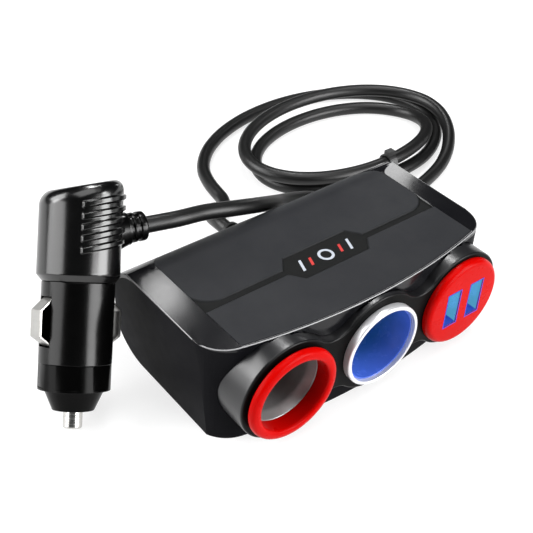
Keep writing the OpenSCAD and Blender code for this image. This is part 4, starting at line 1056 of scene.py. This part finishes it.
def headGrid(look):
    lean = math.tan(math.radians(neckSet["tilt"]))
    inset, deep = look["bevel"]
    a = np.linspace(0, np.pi / 2, look["bevelRows"])
    ribEnd = look["ribDrop"] + look["ribs"] * look["ribPitch"]
    drop = np.concatenate([deep * (1 - np.cos(a)), np.linspace(deep, ribEnd, look["ribRows"])[1:]])
    grow = np.concatenate([-inset * (1 - np.sin(a)), np.zeros(look["ribRows"] - 1)])
    phase = (drop - look["ribDrop"] + look["ribPitch"] / 2) / look["ribPitch"]
    near = abs(phase - np.floor(phase) - 0.5) * look["ribPitch"]
    wave = easeIn((look["ribHalf"] + look["ribEdge"] - near) / (2 * look["ribEdge"]))
    wave = np.where((phase > 0) & (phase < look["ribs"]), wave, 0)
    x0, y0 = headOutline(0, look)
    faceBefore, faceRun = look["faceStart"]
    faceOn = easeIn((x0 - look["reach"] + faceBefore) / faceRun) * (abs(y0) < look["neckClear"])
    mask = easeIn((x0 - look["ribBack"]) / look["ribFade"]) * (1 - faceOn)
    x, y = headOutline(grow[:, None] + look["ribOut"] * wave[:, None] * mask[None, :], look)
    z = look["top"] + x * lean - drop[:, None]
    t = np.linspace(0, 1, look["skirtRows"])[1:, None]
    skirtZ = z[-1:] * (1 - t) + look["bottom"] * t
    skirtX, skirtY = x0[None, :] + 0 * t, y0[None, :] + 0 * t
    endHeight, endRadius = look["taper"]
    aim = np.hypot(x0, y0)
    taperX = x0 * (1 - t) + x0 / aim * endRadius * t
    taperY = y0 * (1 - t) + y0 / aim * endRadius * t
    taperZ = look["bottom"] * (1 - t) + endHeight * t + 0 * taperX
    topRow = np.stack([0 * x[:1], 0 * y[:1], look["top"] + 0 * z[:1]], -1)
    share = look["innerShare"]
    midRow = np.stack([x[:1] * share, y[:1] * share, look["top"] + x[:1] * share * lean], -1)
    endRow = np.stack([0 * x[:1], 0 * y[:1], endHeight + 0 * x[:1]], -1)
    return np.concatenate([
        topRow, midRow, np.stack([x, y, z], -1), np.stack([skirtX, skirtY, skirtZ], -1),
        np.stack([taperX, taperY, taperZ], -1), endRow,
    ])


gridPiece("plug_head_shell", [onPlug(headGrid(headSet))], "plug_black", stands=("plug_head",), sharpAngle=50)

# Neck: a turned root with two grooves, then the sleeve down to the cord
neckProfile = softened(
    [(0, 10), (6.05, 10), (4.95, 13.8), (4.95, 14.35), (3.95, 14.35), (3.95, 15.45), (4.5, 15.45),
     (4.5, 16.55), (3.95, 16.55), (3.95, 17.65), (4.5, 17.65), (4.5, neckSet["end"]), (0, neckSet["end"])],
    [0.01, 0.2, 0.25, 0.12, 0.1, 0.1, 0.15, 0.15, 0.1, 0.1, 0.15, 0.8, 0.01],
)
gridPiece(
    "plug_neck_sleeve", [onNeck(turned(neckProfile, turnSteps["neck"]))], "plug_black",
    stands=("plug_neck",), finish=barrelFinish,
)

# Tip: a turned pin with a rounded nose and a flange inside the cap
tipProfile = softened(
    [(0, 0), (2.75, 0), (2.75, 7), (3.9, 7), (3.9, 8.2), (0, 8.2)], [0.01, 0.75, 0.1, 0.1, 0.1, 0.01],
)
tipFinish = turnedFinish("tip_polished", {
    **turnedLooks["contact_nickel"], "metal": 1, "rough": (0.2, 0.32),
})
gridPiece(
    "plug_tip_turned", [onPlug(turned(tipProfile, turnSteps["tip"]))], "contact_nickel", body="tip",
    stands=("plug_tip_pin",), finish=tipFinish,
)
print("plug dressed")

# Floor, world and softboxes
floorSet = {
    "half": 6,
    "colour": (0.36, 0.36, 0.36), "colour2": (0.34, 0.34, 0.34), "rough": (0.8, 0.9),
    "specular": 0.1, "mottle": 3, "grain": 300, "glow": 0.7, "glowColour": (1, 1, 1),
}


def addFloor(look):
    h = look["half"]
    mesh = bpy.data.meshes.new("floor")
    mesh.from_pydata([(-h, -h, 0), (h, -h, 0), (h, h, 0), (-h, h, 0)], [], [(0, 1, 2, 3)])
    floor = bpy.data.objects.new("floor", mesh)
    collection.objects.link(floor)
    mesh.materials.append(mouldedFinish("floor_paper", look))


addFloor(floorSet)
lights = {
    "topBox": {"place": (0.0, -0.15, 1.3), "aim": (0, 0, 0), "size": (1.0, 1.0), "power": 9},
    "leftBox": {"place": (-1.15, 0.30, 0.42), "aim": (-0.07, 0.02, 0.04), "size": (1.0, 0.75), "power": 12},
    "rightBox": {
        "place": (0.46, -0.92, 0.27), "aim": (-0.07, 0.02, 0.04), "size": (0.75, 0.5), "power": 15,
    },
    "edgeBox": {"place": (0.48, -0.64, 0.56), "aim": (0, 0, 0.03), "size": (0.25, 0.2), "power": 3},
    "rearBox": {"place": (-0.56, 0.50, 0.52), "aim": (0, 0, 0), "size": (0.5, 0.5), "power": 7},
    "backBox": {
        "place": (0.144, 0.094, 0.083), "aim": (0.049, 0.02, 0.035), "size": (0.022, 0.022),
        "power": 0.013,
    },
    "bossBox": {
        "place": (0.26, 0.36, 0.72), "aim": (0.034, -0.02, 0.035), "size": (0.13, 0.13), "power": 2.2,
    },
    "stripBox": {
        "place": (-0.018, 0.095, 0.130), "aim": (-0.05, 0.008, 0.035), "size": (0.016, 0.016),
        "power": 0.018,
    },
}
worldSet = {"colour": (0.9, 0.95, 1, 1), "strength": 0.04}
for name, look in lights.items():
    light = bpy.data.objects.new(name, bpy.data.lights.new(name, "AREA"))
    collection.objects.link(light)
    light.data.shape = "RECTANGLE"
    light.data.size, light.data.size_y = look["size"]
    light.data.energy = look["power"]
    light.location = look["place"]
    way = Vector(look["aim"]) - Vector(look["place"])
    light.rotation_euler = way.to_track_quat("-Z", "Y").to_euler()
    light.visible_camera = False
world = bpy.data.worlds.new("studio")
world.use_nodes = True
background = world.node_tree.nodes["Background"]
background.inputs["Color"].default_value = worldSet["colour"]
background.inputs["Strength"].default_value = worldSet["strength"]
bpy.context.scene.world = world
bpy.context.scene.view_settings.view_transform = "Standard"
print("light set")
